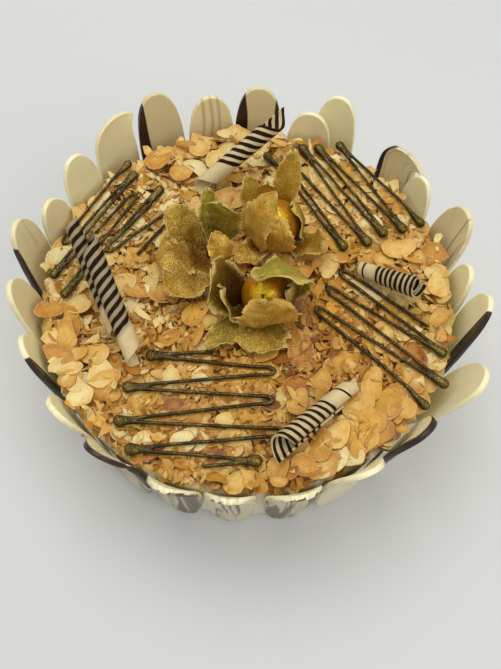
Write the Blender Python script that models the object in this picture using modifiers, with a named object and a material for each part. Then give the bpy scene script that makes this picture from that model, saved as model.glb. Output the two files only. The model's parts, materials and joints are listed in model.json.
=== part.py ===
# Amaretto cake. A round cake coated in cream stands inside a ring of upright chocolate ovals.
# Toasted almond flakes cover its top. On them lie four piped chocolate zigzags and four striped
# chocolate curls, round a group of cape gooseberries in their open papery husks.
#
# Sizes are written in millimetres and scaled once, so the model is in metres, +Z up. The origin
# is under the middle of the cake, on the level it stands on. The front of the cake looks to -Y.
import math
import random

import bmesh
import bpy
from mathutils import Matrix, Vector
from mathutils.bvhtree import BVHTree

MM = 0.001
GAP = 0.3          # air between pieces that touch on the real cake
SEED = 5

# Cake core, out to its coat of cream
FOOT_RADIUS = 81.5
RIM_RADIUS = 85.3
RIM_HEIGHT = 49.0
RIM_ROUND = 2.5
DOME_RISE = 2.5
FOOT_ROUND = 1.0
CORE_SIDES = 44

# Almond flakes, fused to the top of the core
FLAKE_LENGTH = 15.5
FLAKE_WIDTH = 11.5
FLAKE_THICKNESS = 1.3
FLAKE_SIDES = 7
FLAKE_COUNT = 100
FLAKE_FIELD_RADIUS = 81.5
FLAKE_TILT = 24.0
FLAKE_LIFT = 0.5
FLAT_FLAKE_TILT = 6.0
FLAT_FLAKE_LIFT = 0.2
FLAKE_JITTER = 0.06
SMALLEST_FLAKE = 0.82
LARGEST_FLAKE = 1.12

# Chocolate ovals
OVAL_THICKNESS = 2.2
OVAL_LIFT = 0.9
OVAL_CUP = 1.6
OVAL_FULLNESS = 2.4  # above 2, blunter than an ellipse
OVAL_EGG = 0.12      # wider towards the tip and narrower towards the foot
OVAL_BEND_POWER = 3

# One row for each oval: azimuth in degrees from +X, width, height, lean, step outwards,
# roll in its own plane, and how far its tip bends outwards
OVALS = [
    (2.0, 18.0, 66.8, 5.8, 0.6, -2.0, 0.0),
    (18.1, 22.0, 73.9, 7.3, 0.8, 2.9, 0.5),
    (32.6, 17.5, 65.8, 5.6, 0.8, -4.0, 0.0),
    (43.6, 20.0, 73.5, 5.8, 3.7, -2.7, -2.0),
    (66.0, 20.5, 73.0, 5.8, 5.8, -0.5, 0.5),
    (72.6, 21.5, 64.6, 5.6, 1.0, -0.2, 0.0),
    (88.6, 21.6, 74.2, 5.8, 0.6, 0.2, 0.5),
    (103.2, 21.3, 70.6, 5.6, 0.8, 1.5, 0.0),
    (118.1, 21.7, 75.1, 9.2, 0.8, 1.2, 0.6),
    (133.1, 21.4, 75.6, 7.7, 2.8, 5.0, 1.0),
    (146.6, 20.4, 71.8, 6.6, 0.6, -0.2, 0.0),
    (160.2, 19.4, 67.0, 5.6, 0.6, -1.3, 0.0),
    (172.8, 21.8, 74.2, 6.4, 3.4, 3.1, 0.4),
    (189.4, 22.0, 73.6, 6.7, 0.8, 0.3, 0.5),
    (204.8, 22.1, 73.3, 5.9, 0.6, -1.7, 0.4),
    (222.6, 22.0, 71.5, 5.8, 0.8, 0.0, 1.6),
    (237.8, 21.8, 72.5, 5.7, 0.6, 2.0, 3.0),
    (253.6, 20.8, 72.0, 5.7, 0.8, -2.0, 3.4),
    (267.8, 19.6, 72.5, 5.7, 0.6, 0.0, 3.4),
    (283.4, 21.6, 72.5, 5.7, 0.8, 1.0, 3.4),
    (298.4, 22.0, 73.0, 5.8, 0.6, -2.0, 3.0),
    (315.2, 22.0, 73.5, 6.8, 0.8, 1.0, 1.6),
    (333.9, 22.4, 75.5, 11.5, 0.6, 5.3, 1.5),
    (350.4, 21.6, 74.4, 6.0, 3.5, -1.8, 0.8),
]

# Piped zigzags, each stiff and flat: the turns of each in order, as x, y and the radius of the
# stroke there. At a thick turn two strokes run together, at a thin one they leave an open loop.
THICK = 2.1
THIN = 0.85
MERGE_LENGTH = 9.0
LOOP_HALF_WIDTH = 1.8
LOOP_LENGTH = 8.0
LOOP_SHOULDER = 0.8      # share of the loop's half width just behind its tip
THICK_TIP = 0.55         # radius at the end of a thick turn, as a share of its full radius
MERGE_SPREAD = 0.6       # how far apart two strokes are where they merge, in stroke radii
ZIGZAG_HEIGHT = 54.2
STROKE_STEP = 0.15
ZIGZAGS = {
    "zigzag_front": [(-13, -29.5, THIN), (-39, -32, THICK), (12, -37, THIN),
                     (-47, -46, THICK), (11.5, -49, THIN), (-49, -60, THICK),
                     (16, -62, THIN), (-43.5, -71, THICK), (8, -73.5, THICK), (-13.5, -76.5, THIN)],
    "zigzag_right": [(73.5, -14.5, THIN), (39, 10, THIN), (80.5, -27.5, THICK),
                     (33.5, 1.5, THIN), (80, -41, THICK), (28.5, -8, THIN), (71.5, -50.5, THICK)],
    "zigzag_back": [(75.5, 34.5, THICK), (39, 79, THICK), (67.5, 31, THICK), (29, 77, THICK),
                    (59, 28.5, THICK), (22, 76.5, THICK), (52, 23.5, THICK), (16, 67, THIN),
                    (41.5, 21, THICK), (5.5, 71, THICK)],
    "zigzag_left": [(-55, 64, THICK), (-79, 19, THIN), (-52, 58, THICK), (-82, 2, THICK),
                    (-51, 46, THIN), (-76, -7, THICK), (-39.5, 50.5, THICK), (-60, 16, THIN),
                    (-30.5, 41, THIN), (-47, 15, THIN)],
}

# Striped curls: rolled sheets of chocolate, each from its lower end to its upper end
CURL_THICKNESS = 0.9
CURL_PITCH = 1.6
SINGLE_ROLL_STEPS = 18
DOUBLE_ROLL_STEPS = 12
DOUBLE_ROLL_SPACING = 0.98   # centre of each of two rolls from the line between them, in radii
# How far the slanting low end reaches below the point called low, in millimetres round the roll
CURL_LOW_REACH = 7.0
# low and high are the ends of a roll's axis. The sheet is height long, its ends and its stripes
# rise by tilt for each millimetre round the roll, lead is the way round from the sheet's outer
# edge to the line of the roll that runs from low to high.
CURLS = {
    "curl_left": dict(low=(-45.3, -33.4, 55.8), high=(-67.6, 11.1, 82.3), radii=(3.7, 4.0),
                      turns=0.88, height=44.5, tilt=0.6, lead=7.6, flare=0.04, spin=106.0),
    "curl_back": dict(low=(-20.5, 50.3, 58.5), high=(6.1, 68.1, 74.0), radii=(4.4,),
                      turns=1.35, height=35.6, tilt=0.7, lead=16.5, flare=0.02, spin=248.0),
    "curl_right": dict(low=(47.2, 10.1, 57.2), high=(67.5, -4.0, 67.5), radii=(4.15,),
                       turns=1.5, height=26.7, tilt=0.1, lead=14.5, flare=0.2, spin=235.5),
    "curl_front": dict(low=(42.4, -43.2, 57.5), high=(16.9, -67.3, 61.5), radii=(4.2,),
                       turns=1.35, height=35.3, tilt=0.45, lead=18.3, flare=0.09, spin=238.0),
}

# Cape gooseberries and their husks
BERRY_RADIUS = 10.0
HUSK_THICKNESS = 0.7
BERRY_LIFT = 1.0
HUSK_BASE_RADIUS = 4.5
HUSK_BASE_HEIGHT = 1.6
HUSK_BASE_TAPER = 0.7
HUSK_BASE_DROP = 0.2
HUSK_BASE_SIDES = 10
HUSK_LAY = 2.6
LOBE_STEPS = 5
LOBE_SUBSTEPS = 20
LOBE_START_ANGLE = 18.0
LOBE_START = 0.16
LOBE_TIP = 0.10
LOBE_TAPER = 0.7
LOBE_PHASE = 1.7
EDGE_WAVE = 1.0
# A husk's centre, then one row for each lobe: azimuth, length, width, the angle up to which it
# follows the berry, the angle of its tip, its fold, its twist and how far it keeps off the berry
HUSKS = {
    "husk_front": dict(centre=(7.8, -8.9), berry=True, lobes=[
        (221.0, 29.0, 12.0, 22.0, -2.0, 2.0, 0.0, 1.0),
        (260.0, 20.0, 25.0, 24.0, -4.0, 2.0, 0.0, 1.0),
        (276.0, 29.0, 25.0, 90.0, 118.0, -4.0, 0.0, 3.0),
        (344.0, 26.0, 17.0, 95.0, 110.0, -2.0, 0.0, 2.0),
        (36.0, 48.0, 20.0, 122.0, 180.0, -3.0, 34.0, 4.0),
        (198.0, 31.0, 13.0, 22.0, 100.0, 1.5, 0.0, 1.0),
        (170.0, 33.0, 24.0, 32.0, 80.0, 2.0, 0.0, 1.0)]),
    "husk_back": dict(centre=(11.0, 25.9), berry=True, lobes=[
        (75.0, 38.0, 11.5, 62.0, 66.0, 2.5, 8.0, 1.0),
        (132.0, 29.0, 11.5, 60.0, 60.0, 2.5, 0.0, 1.0),
        (107.0, 24.0, 10.0, 66.0, 72.0, 2.0, 0.0, 1.0),
        (8.0, 27.0, 17.0, 104.0, 130.0, -3.0, 6.0, 1.5),
        (333.0, 25.0, 14.0, 24.0, 48.0, 1.5, 8.0, 1.0),
        (214.0, 40.0, 18.0, 98.0, 146.0, -3.0, 0.0, 2.5),
        (226.0, 21.0, 12.0, 24.0, 8.0, 1.5, 0.0, 1.0),
        (272.0, 30.0, 15.0, 92.0, 116.0, -3.0, 0.0, 3.0)]),
    "husk_left": dict(centre=(-14.5, 16.0), berry=False, lobes=[
        (196.0, 26.0, 22.0, 52.0, -40.0, 2.5, 0.0, 1.0),
        (150.0, 26.0, 17.0, 56.0, 20.0, 2.0, -10.0, 1.0),
        (80.0, 23.0, 20.0, 68.0, 70.0, 2.0, -8.0, 1.0),
        (236.0, 29.0, 22.0, 36.0, -8.0, 2.0, 10.0, 1.0),
        (100.0, 27.0, 9.0, 58.0, 60.0, 2.0, 0.0, 1.0),
        (304.0, 24.0, 12.0, 88.0, 165.0, -2.0, 0.0, -2.0)]),
}


def clear_scene():
    for obj in list(bpy.data.objects):
        bpy.data.objects.remove(obj, do_unlink=True)


def new_collection(name):
    collection = bpy.data.collections.new(name)
    bpy.context.scene.collection.children.link(collection)
    return collection


def new_material(name, colour, roughness):
    material = bpy.data.materials.new(name)
    material.use_nodes = True
    shader = material.node_tree.nodes["Principled BSDF"]
    shader.inputs["Base Color"].default_value = (*colour, 1.0)
    shader.inputs["Roughness"].default_value = roughness
    shader.inputs["Metallic"].default_value = 0.0
    material.diffuse_color = (*colour, 1.0)
    return material


def mesh_object(name, bm, collection, material=None):
    mesh = bpy.data.meshes.new(name)
    bm.to_mesh(mesh)
    bm.free()
    obj = bpy.data.objects.new(name, mesh)
    if material:
        mesh.materials.append(material)
    collection.objects.link(obj)
    return obj


def place_vertices(bm, rule):
    # Move every vertex of a unit grid or primitive to where the rule puts it, in millimetres.
    for vertex in bm.verts:
        vertex.co = Vector(rule(vertex.co)) * MM


def evaluated_mesh(obj):
    bpy.context.view_layer.update()
    graph = bpy.context.evaluated_depsgraph_get()
    return bpy.data.meshes.new_from_object(obj.evaluated_get(graph))


def apply_modifiers(obj):
    mesh = evaluated_mesh(obj)
    obj.modifiers.clear()
    obj.data = mesh


def add_sheet_modifiers(obj, thickness):
    # Triangles first, so that both faces of a bent sheet are split alike.
    obj.modifiers.new("Triangles", "TRIANGULATE")
    solid = obj.modifiers.new("Thickness", "SOLIDIFY")
    solid.thickness = thickness * MM
    solid.offset = 0.0


def keep_largest_shell(mesh):
    # A loose scrap is dropped, and so is the inner wall of a pocket that joining has sealed.
    bm = bmesh.new()
    bm.from_mesh(mesh)
    bm.verts.ensure_lookup_table()
    unseen = set(range(len(bm.verts)))
    shells = []
    while unseen:
        stack = [unseen.pop()]
        shell = set(stack)
        while stack:
            for edge in bm.verts[stack.pop()].link_edges:
                for vertex in edge.verts:
                    if vertex.index in unseen:
                        unseen.discard(vertex.index)
                        shell.add(vertex.index)
                        stack.append(vertex.index)
        shells.append(shell)
    largest = max(shells, key=len)
    extra = [vertex for vertex in bm.verts if vertex.index not in largest]
    bmesh.ops.delete(bm, geom=extra, context="VERTS")
    bm.to_mesh(mesh)
    bm.free()


def unite(obj, collection, solver="EXACT"):
    join = obj.modifiers.new("Joined", "BOOLEAN")
    join.operation = "UNION"
    join.operand_type = "COLLECTION"
    join.collection = collection
    join.solver = solver
    apply_modifiers(obj)
    for piece in list(collection.objects):
        bpy.data.objects.remove(piece, do_unlink=True)
    bpy.data.collections.remove(collection)
    keep_largest_shell(obj.data)


def smooth(obj):
    obj.data.shade_smooth()
    obj.data.set_sharp_from_angle(angle=math.radians(40.0))


def azimuth_frame(degrees):
    angle = math.radians(degrees)
    outward = Vector((math.cos(angle), math.sin(angle), 0.0))
    along = Vector((-math.sin(angle), math.cos(angle), 0.0))
    return outward, along


def core_top(radius):
    # Height of the domed top of the core, at a distance from its axis.
    return RIM_HEIGHT + DOME_RISE * (1.0 - min(radius / RIM_RADIUS, 1.0) ** 2)


def core_profile():
    # From the middle of the top, over the rim and down the side, to the middle of the bottom.
    points = []
    for step in range(5):
        radius = (RIM_RADIUS - RIM_ROUND) * step / 4
        points.append((radius, core_top(radius)))
    edge_height = core_top(RIM_RADIUS - RIM_ROUND) - RIM_ROUND
    for step in (1, 2):
        turn = math.radians(90.0 - 45.0 * step)
        points.append((RIM_RADIUS - RIM_ROUND + RIM_ROUND * math.cos(turn),
                       edge_height + RIM_ROUND * math.sin(turn)))
    points.append((FOOT_RADIUS, FOOT_ROUND))
    points.append((FOOT_RADIUS - FOOT_ROUND, 0.0))
    points.append((0.0, 0.0))
    return points


def make_core(collection, material):
    bm = bmesh.new()
    corners = [bm.verts.new((radius * MM, 0.0, height * MM)) for radius, height in core_profile()]
    for first, second in zip(corners, corners[1:]):
        bm.edges.new((first, second))
    core = mesh_object("cake", bm, collection, material)
    turn = core.modifiers.new("Turned", "SCREW")
    turn.steps = CORE_SIDES
    turn.render_steps = CORE_SIDES
    turn.use_merge_vertices = True
    turn.merge_threshold = 0.00001
    apply_modifiers(core)
    return core


def flake_matrix(x, y, lift, tilt, tilt_azimuth, spin, size):
    place = Matrix.Translation(Vector((x, y, core_top(math.hypot(x, y)) + lift)) * MM)
    axis = Vector((math.cos(tilt_azimuth), math.sin(tilt_azimuth), 0.0))
    lean = Matrix.Rotation(math.radians(tilt), 4, axis)
    turn = Matrix.Rotation(spin, 4, "Z")
    scale = Matrix.Diagonal((*(Vector(size) * MM / 2.0), 1.0))
    return place @ lean @ turn @ scale


def flake_solid(matrix):
    bm = bmesh.new()
    bmesh.ops.create_cone(bm, cap_ends=True, segments=FLAKE_SIDES, radius1=1.0, radius2=1.0,
                          depth=2.0, matrix=matrix)
    return bm


def crosses(matrix, trees):
    bm = flake_solid(matrix)
    tree = BVHTree.FromBMesh(bm)
    bm.free()
    return any(tree.overlap(other) for other in trees)


def fuse_flakes(core, neighbours):
    # A flake that would cross a neighbour is laid flatter and deeper, or else left out.
    draw = random.Random(SEED)
    trees = []
    graph = bpy.context.evaluated_depsgraph_get()
    for obj in neighbours:
        trees.append(BVHTree.FromObject(obj, graph))
    flakes = new_collection("flakes")
    golden_angle = math.pi * (3.0 - math.sqrt(5.0))
    for index in range(FLAKE_COUNT):
        radius = FLAKE_FIELD_RADIUS * math.sqrt((index + 0.5) / FLAKE_COUNT)
        angle = index * golden_angle + draw.uniform(-FLAKE_JITTER, FLAKE_JITTER)
        x = radius * math.cos(angle)
        y = radius * math.sin(angle)
        scale = draw.uniform(SMALLEST_FLAKE, LARGEST_FLAKE)
        size = Vector((FLAKE_LENGTH * scale, FLAKE_WIDTH * scale, FLAKE_THICKNESS))
        tilt = draw.uniform(FLAT_FLAKE_TILT, FLAKE_TILT)
        tilt_azimuth = draw.uniform(0.0, 2.0 * math.pi)
        spin = draw.uniform(0.0, math.pi)
        for slope, lift in ((tilt, FLAKE_LIFT), (FLAT_FLAKE_TILT, FLAT_FLAKE_LIFT)):
            margin = Vector((GAP, GAP, GAP)) * 2.0
            if not crosses(flake_matrix(x, y, lift, slope, tilt_azimuth, spin, size + margin), trees):
                bm = flake_solid(flake_matrix(x, y, lift, slope, tilt_azimuth, spin, size))
                mesh_object("flake", bm, flakes)
                break
    unite(core, flakes, "MANIFOLD")


def make_oval(name, row, collection, material):
    azimuth, width, height, lean, step_out, roll, bend = row
    outward, along = azimuth_frame(azimuth)
    slope = math.radians(lean)
    up = Vector((0.0, 0.0, math.cos(slope))) + outward * math.sin(slope)
    normal = outward * math.cos(slope) - Vector((0.0, 0.0, math.sin(slope)))
    foot = outward * (FOOT_RADIUS + GAP + OVAL_THICKNESS / 2.0 + step_out)
    foot += Vector((0.0, 0.0, OVAL_LIFT))
    spin = Matrix.Rotation(math.radians(roll), 4, normal)

    def rule(co):
        # A square grid becomes a full egg shape, cupped round the cake and bent at its tip.
        across = co.x * math.sqrt(1.0 - co.y ** 2 / 2.0)
        length = co.y * math.sqrt(1.0 - co.x ** 2 / 2.0)
        reach = math.hypot(across, length)
        if reach > 0.0:
            full = (abs(across / reach) ** OVAL_FULLNESS
                    + abs(length / reach) ** OVAL_FULLNESS) ** (-1.0 / OVAL_FULLNESS)
            across *= full
            length *= full
        across *= 1.0 + OVAL_EGG * length
        out = -OVAL_CUP * across ** 2 + bend * max(length, 0.0) ** OVAL_BEND_POWER
        flat = along * (across * width / 2.0) + up * (length * height / 2.0)
        return foot + up * (height / 2.0) + spin @ flat + normal * out

    bm = bmesh.new()
    bmesh.ops.create_grid(bm, x_segments=4, y_segments=5, size=1.0)
    place_vertices(bm, rule)
    bmesh.ops.recalc_face_normals(bm, faces=bm.faces)
    oval = mesh_object(name, bm, collection, material)
    add_sheet_modifiers(oval, OVAL_THICKNESS)
    return oval


def stroke_routes(turns):
    # One route for each stretch between thick turns, with a hairpin at every open loop. The
    # points of a route are x, y and the radius of the stroke.
    routes = []
    route = []
    last = len(turns) - 1
    for index, (x, y, radius) in enumerate(turns):
        tip = Vector((x, y))
        near = [Vector(turns[other][:2]) for other in (index - 1, index + 1) if 0 <= other <= last]
        inward = sum(((point - tip).normalized() for point in near), Vector((0.0, 0.0))).normalized()
        side = Vector((-inward.y, inward.x))
        if (near[0] - tip).dot(side) < 0.0:
            side.negate()
        if radius == THICK:
            merge = tip + inward * MERGE_LENGTH
            bulge = tip + inward * THICK
            if index > 0:
                route += [(*(merge + side * THIN * MERGE_SPREAD), THIN), (*bulge, THICK),
                          (*tip, THICK * THICK_TIP)]
                routes.append(route)
            if index < last:
                route = [(*tip, THICK * THICK_TIP), (*bulge, THICK),
                         (*(merge - side * THIN * MERGE_SPREAD), THIN)]
        elif 0 < index < last:
            for along, across in ((LOOP_LENGTH, 1.0), (LOOP_HALF_WIDTH, LOOP_SHOULDER), (0.0, 0.0),
                                  (LOOP_HALF_WIDTH, -LOOP_SHOULDER), (LOOP_LENGTH, -1.0)):
                route.append((*(tip + inward * along + side * across * LOOP_HALF_WIDTH), THIN))
        else:
            route.append((*tip, THIN))
            if index == last:
                routes.append(route)
    return routes


def stroke_object(name, route, height, collection):
    curve = bpy.data.curves.new(name, "CURVE")
    curve.dimensions = "3D"
    curve.bevel_depth = MM
    curve.bevel_resolution = 1
    curve.use_fill_caps = True
    spline = curve.splines.new("POLY")
    spline.points.add(len(route) - 1)
    for target, (x, y, radius) in zip(spline.points, route):
        target.co = (x * MM, y * MM, height * MM, 1.0)
        target.radius = radius
    obj = bpy.data.objects.new(name, curve)
    collection.objects.link(obj)
    mesh = evaluated_mesh(obj)
    bpy.data.objects.remove(obj, do_unlink=True)
    bm = bmesh.new()
    bm.from_mesh(mesh)
    bmesh.ops.remove_doubles(bm, verts=bm.verts, dist=0.00001)
    return mesh_object(name, bm, collection)


def make_zigzag(name, turns, collection, material):
    routes = stroke_routes(turns)
    strokes = new_collection("strokes")
    zigzag = stroke_object(name, routes[0], ZIGZAG_HEIGHT, collection)
    zigzag.data.materials.append(material)
    for index, route in enumerate(routes[1:]):
        stroke_object("stroke", route, ZIGZAG_HEIGHT + STROKE_STEP * (1 - index % 2), strokes)
    unite(zigzag, strokes)
    return zigzag


def roll_section(radii, turns):
    # The rolled sheet seen from its end: one spiral, or two that share the sheet between them.
    # Each point is across, over, and its way round from the outer edge or from where the two meet.
    section = []
    single = len(radii) == 1
    steps = SINGLE_ROLL_STEPS if single else DOUBLE_ROLL_STEPS
    for sign, radius in zip((-1.0,) if single else (1.0, -1.0), radii):
        centre = 0.0 if single else -sign * radius * DOUBLE_ROLL_SPACING
        half = []
        for step in range(steps + 1):
            turned = step / steps * turns * 2.0 * math.pi
            angle = math.radians(90.0) + sign * turned
            reach = radius - CURL_PITCH * turned / (2.0 * math.pi)
            half.append((centre + reach * math.cos(angle), reach * math.sin(angle),
                         -sign * turned * (radius + reach) / 2.0))
        section = half if not section else list(reversed(section)) + half
    return section


def make_curl(name, low, high, radii, turns, height, tilt, lead, flare, spin, collection, material):
    section = roll_section(radii, turns)
    axis = Vector(high) - Vector(low)
    facing = axis.to_track_quat("Z", "Y").to_matrix() @ Matrix.Rotation(math.radians(spin), 3, "Z")

    def rule(co):
        across, over, travel = section[round((co.x + 1.0) / 2.0 * (len(section) - 1))]
        top = height + tilt * (lead - travel)
        foot = tilt * max(lead - travel, -CURL_LOW_REACH)
        along = foot + (top - foot) * (co.y + 1.0) / 2.0
        wider = 1.0 + flare * (2.0 * along / axis.length - 1.0)
        return Vector(low) + facing @ Vector((across * wider, over * wider, along))

    bm = bmesh.new()
    bmesh.ops.create_grid(bm, x_segments=len(section) - 1, y_segments=1, size=1.0)
    place_vertices(bm, rule)
    curl = mesh_object(name, bm, collection, material)
    add_sheet_modifiers(curl, CURL_THICKNESS)
    return curl


def lobe_path(length, hug, tip_angle, clearance):
    # Distance from the husk's axis and height above its base. The lobe follows the berry up to
    # the angle called hug, and from there bends evenly to the angle of its tip.
    hug_radius = BERRY_RADIUS + clearance
    angle = LOBE_START_ANGLE
    reach = hug_radius * math.sin(math.radians(angle))
    height = hug_radius * (1.0 - math.cos(math.radians(angle)))
    hug_length = hug_radius * math.radians(hug - angle)
    pieces = LOBE_SUBSTEPS * LOBE_STEPS
    step = length / pieces
    path = []
    for index in range(pieces + 1):
        if index % LOBE_SUBSTEPS == 0:
            path.append((reach, height, math.radians(angle)))
        if index * step < hug_length:
            angle += math.degrees(step / hug_radius)
        else:
            angle += (tip_angle - hug) * step / (length - hug_length)
        reach += step * math.cos(math.radians(angle))
        height += step * math.sin(math.radians(angle))
    return path


def lobe_spread(part):
    # Share of a lobe's full width: narrow where it starts, full at its middle, then a point.
    if part < 0.5:
        return LOBE_START + (1.0 - LOBE_START) * math.sin(math.pi * part)
    return LOBE_TIP + (1.0 - LOBE_TIP) * (1.0 - (2.0 * part - 1.0) ** 2) ** LOBE_TAPER


def make_lobe(name, centre, base_height, row, phase, collection):
    azimuth, length, width, hug, tip_angle, fold, twist, clearance = row
    outward, along = azimuth_frame(azimuth)
    path = lobe_path(length, hug, tip_angle, clearance)
    origin = Vector((*centre, base_height))

    def rule(co):
        part = (co.y + 1.0) / 2.0
        reach, height, angle = path[round(part * LOBE_STEPS)]
        ahead = outward * math.cos(angle) + Vector((0.0, 0.0, math.sin(angle)))
        normal = ahead.cross(along)
        turn = Matrix.Rotation(math.radians(twist) * part, 4, ahead)
        spread = lobe_spread(part)
        wave = EDGE_WAVE * abs(co.x) * math.sin(7.0 * part + phase + 2.0 * co.x)
        bend = (wave - fold * co.x ** 2) * part * spread
        flat = along * (co.x * spread * width / 2.0) + normal * bend
        return origin + outward * reach + Vector((0.0, 0.0, height)) + turn @ flat

    bm = bmesh.new()
    bmesh.ops.create_grid(bm, x_segments=2, y_segments=LOBE_STEPS, size=1.0)
    place_vertices(bm, rule)
    lobe = mesh_object(name, bm, collection)
    add_sheet_modifiers(lobe, HUSK_THICKNESS)
    apply_modifiers(lobe)
    return lobe


def make_husk(name, centre, lobes, collection, material):
    base_height = core_top(math.hypot(*centre)) + HUSK_LAY
    bm = bmesh.new()
    middle = Vector((*centre, base_height - HUSK_BASE_DROP)) * MM
    bmesh.ops.create_cone(bm, cap_ends=True, segments=HUSK_BASE_SIDES,
                          radius1=HUSK_BASE_RADIUS * MM * HUSK_BASE_TAPER,
                          radius2=HUSK_BASE_RADIUS * MM, depth=HUSK_BASE_HEIGHT * MM,
                          matrix=Matrix.Translation(middle))
    husk = mesh_object(name, bm, collection, material)
    pieces = new_collection("lobes")
    for index, row in enumerate(lobes):
        make_lobe("lobe", centre, base_height, row, index * LOBE_PHASE, pieces)
    unite(husk, pieces)
    return husk


def make_berry(name, centre, collection, material):
    base_height = core_top(math.hypot(*centre)) + HUSK_LAY
    height = base_height + BERRY_RADIUS + BERRY_LIFT
    bm = bmesh.new()
    place = Matrix.Translation(Vector((*centre, height)) * MM)
    bmesh.ops.create_uvsphere(bm, u_segments=12, v_segments=8, radius=BERRY_RADIUS * MM, matrix=place)
    return mesh_object(name, bm, collection, material)


def main():
    clear_scene()
    cake = new_collection("amaretto_cake")
    almond = new_material("toasted_almond", (0.78, 0.50, 0.22), 0.6)
    ivory = new_material("ivory_chocolate", (0.78, 0.70, 0.48), 0.4)
    dark = new_material("gilded_chocolate", (0.11, 0.08, 0.03), 0.4)
    striped = new_material("striped_chocolate", (0.45, 0.40, 0.34), 0.4)
    papery = new_material("papery_husk", (0.42, 0.36, 0.14), 0.7)
    golden = new_material("golden_berry", (0.75, 0.40, 0.05), 0.25)

    toppings = []
    for index, row in enumerate(OVALS):
        toppings.append(make_oval(f"oval_{index + 1:02d}", row, cake, ivory))
    for name, turns in ZIGZAGS.items():
        toppings.append(make_zigzag(name, turns, cake, dark))
    for name, curl in CURLS.items():
        toppings.append(make_curl(name, **curl, collection=cake, material=striped))
    for name, husk in HUSKS.items():
        toppings.append(make_husk(name, husk["centre"], husk["lobes"], cake, papery))
        if husk["berry"]:
            berry_name = name.replace("husk", "berry")
            toppings.append(make_berry(berry_name, husk["centre"], cake, golden))

    core = make_core(cake, almond)
    fuse_flakes(core, toppings)
    for obj in [core] + toppings:
        smooth(obj)


main()
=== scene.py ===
import json
import math

import bmesh
import bpy
import numpy as np
from mathutils import Matrix, Vector, noise
from mathutils.bvhtree import BVHTree
from mathutils.kdtree import KDTree

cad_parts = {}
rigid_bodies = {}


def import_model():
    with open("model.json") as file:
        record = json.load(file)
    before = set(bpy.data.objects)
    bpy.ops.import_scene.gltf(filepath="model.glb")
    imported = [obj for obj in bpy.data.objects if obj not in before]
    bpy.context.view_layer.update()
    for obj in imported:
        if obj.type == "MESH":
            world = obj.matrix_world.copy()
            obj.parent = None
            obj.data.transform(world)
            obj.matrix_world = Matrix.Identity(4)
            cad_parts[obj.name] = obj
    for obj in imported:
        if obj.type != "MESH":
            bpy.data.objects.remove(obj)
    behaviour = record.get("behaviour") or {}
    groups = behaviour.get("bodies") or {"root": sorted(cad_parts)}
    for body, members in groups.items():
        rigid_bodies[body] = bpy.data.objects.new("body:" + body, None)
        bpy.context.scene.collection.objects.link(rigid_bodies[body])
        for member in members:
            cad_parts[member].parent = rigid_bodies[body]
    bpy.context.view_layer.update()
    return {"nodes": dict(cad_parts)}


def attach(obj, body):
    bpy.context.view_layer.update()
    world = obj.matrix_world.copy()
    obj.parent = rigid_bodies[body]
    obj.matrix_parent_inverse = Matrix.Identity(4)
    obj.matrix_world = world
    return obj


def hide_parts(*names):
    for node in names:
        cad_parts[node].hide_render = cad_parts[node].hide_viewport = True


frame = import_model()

mm = 0.001                      # every size below is in millimetres
rise = np.array([0.0, 0.0, 1.0])


# Small tools for meshes

def pieceName(node):
    head, tail = node.split("_")
    return head + tail.capitalize()


def meshPiece(name, vertices, faces, material=None, smooth=True):
    mesh = bpy.data.meshes.new(name)
    mesh.from_pydata((np.asarray(vertices, float) * mm).tolist(), [], faces)
    if smooth:
        mesh.shade_smooth()
    if material:
        mesh.materials.append(material)
    obj = bpy.data.objects.new(name, mesh)
    bpy.context.scene.collection.objects.link(obj)
    return obj


def addAttribute(obj, name, values, kind="FLOAT"):
    layer = obj.data.attributes.new(name, kind, "POINT")
    field = "vector" if kind == "FLOAT_VECTOR" else "value"
    layer.data.foreach_set(field, np.asarray(values, int if kind == "INT" else float).ravel())


def addConstants(obj, values):
    for name, value in values.items():
        addAttribute(obj, name, np.full(len(obj.data.vertices), value))


def addUvs(obj, perVertex):
    layer = obj.data.uv_layers.new(name="UVMap")
    corners = np.zeros(len(obj.data.loops), int)
    obj.data.loops.foreach_get("vertex_index", corners)
    layer.data.foreach_set("uv", np.asarray(perVertex, float)[corners].ravel())


def addModifier(obj, name, kind, **settings):
    modifier = obj.modifiers.new(name, kind)
    for key, value in settings.items():
        setattr(modifier, key, value)
    return modifier


def bakeModifiers(obj):
    bpy.context.view_layer.update()
    graph = bpy.context.evaluated_depsgraph_get()
    mesh = bpy.data.meshes.new_from_object(obj.evaluated_get(graph), depsgraph=graph)
    obj.modifiers.clear()
    obj.data = mesh


def recalcNormals(obj):
    bm = bmesh.new()
    bm.from_mesh(obj.data)
    bmesh.ops.remove_doubles(bm, verts=bm.verts, dist=0.001 * mm)
    bmesh.ops.recalc_face_normals(bm, faces=bm.faces)
    bm.to_mesh(obj.data)
    bm.free()


def shifted(faces, start):
    return [tuple(start + corner for corner in face) for face in faces]


def gridFaces(rows, columns, wrap=False):
    # quads between rows of points; wrap joins the last column to the first
    faces = []
    for low in range(0, (rows - 1) * columns, columns):
        high = low + columns
        for column in range(columns if wrap else columns - 1):
            after = (column + 1) % columns
            faces.append((low + column, low + after, high + after, high + column))
    return faces


def poleFaces(rings, sides):
    # a round body: rings of points between a first and a last point
    first, last = 1 + (rings - 1) * sides, 1 + rings * sides
    faces = [(0, 1 + side, 1 + (side + 1) % sides) for side in range(sides)]
    for face in shifted(gridFaces(rings, sides, wrap=True), 1):
        faces.append(face[:1] + face[:0:-1])
    return faces + [(last, first + (side + 1) % sides, first + side) for side in range(sides)]


def roundAngles(sides):
    return [2.0 * math.pi * side / sides for side in range(sides)]


def azimuthFrame(degrees):
    angle = math.radians(degrees)
    outward = np.array([math.cos(angle), math.sin(angle), 0.0])
    along = np.array([-math.sin(angle), math.cos(angle), 0.0])
    return outward, along


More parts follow.
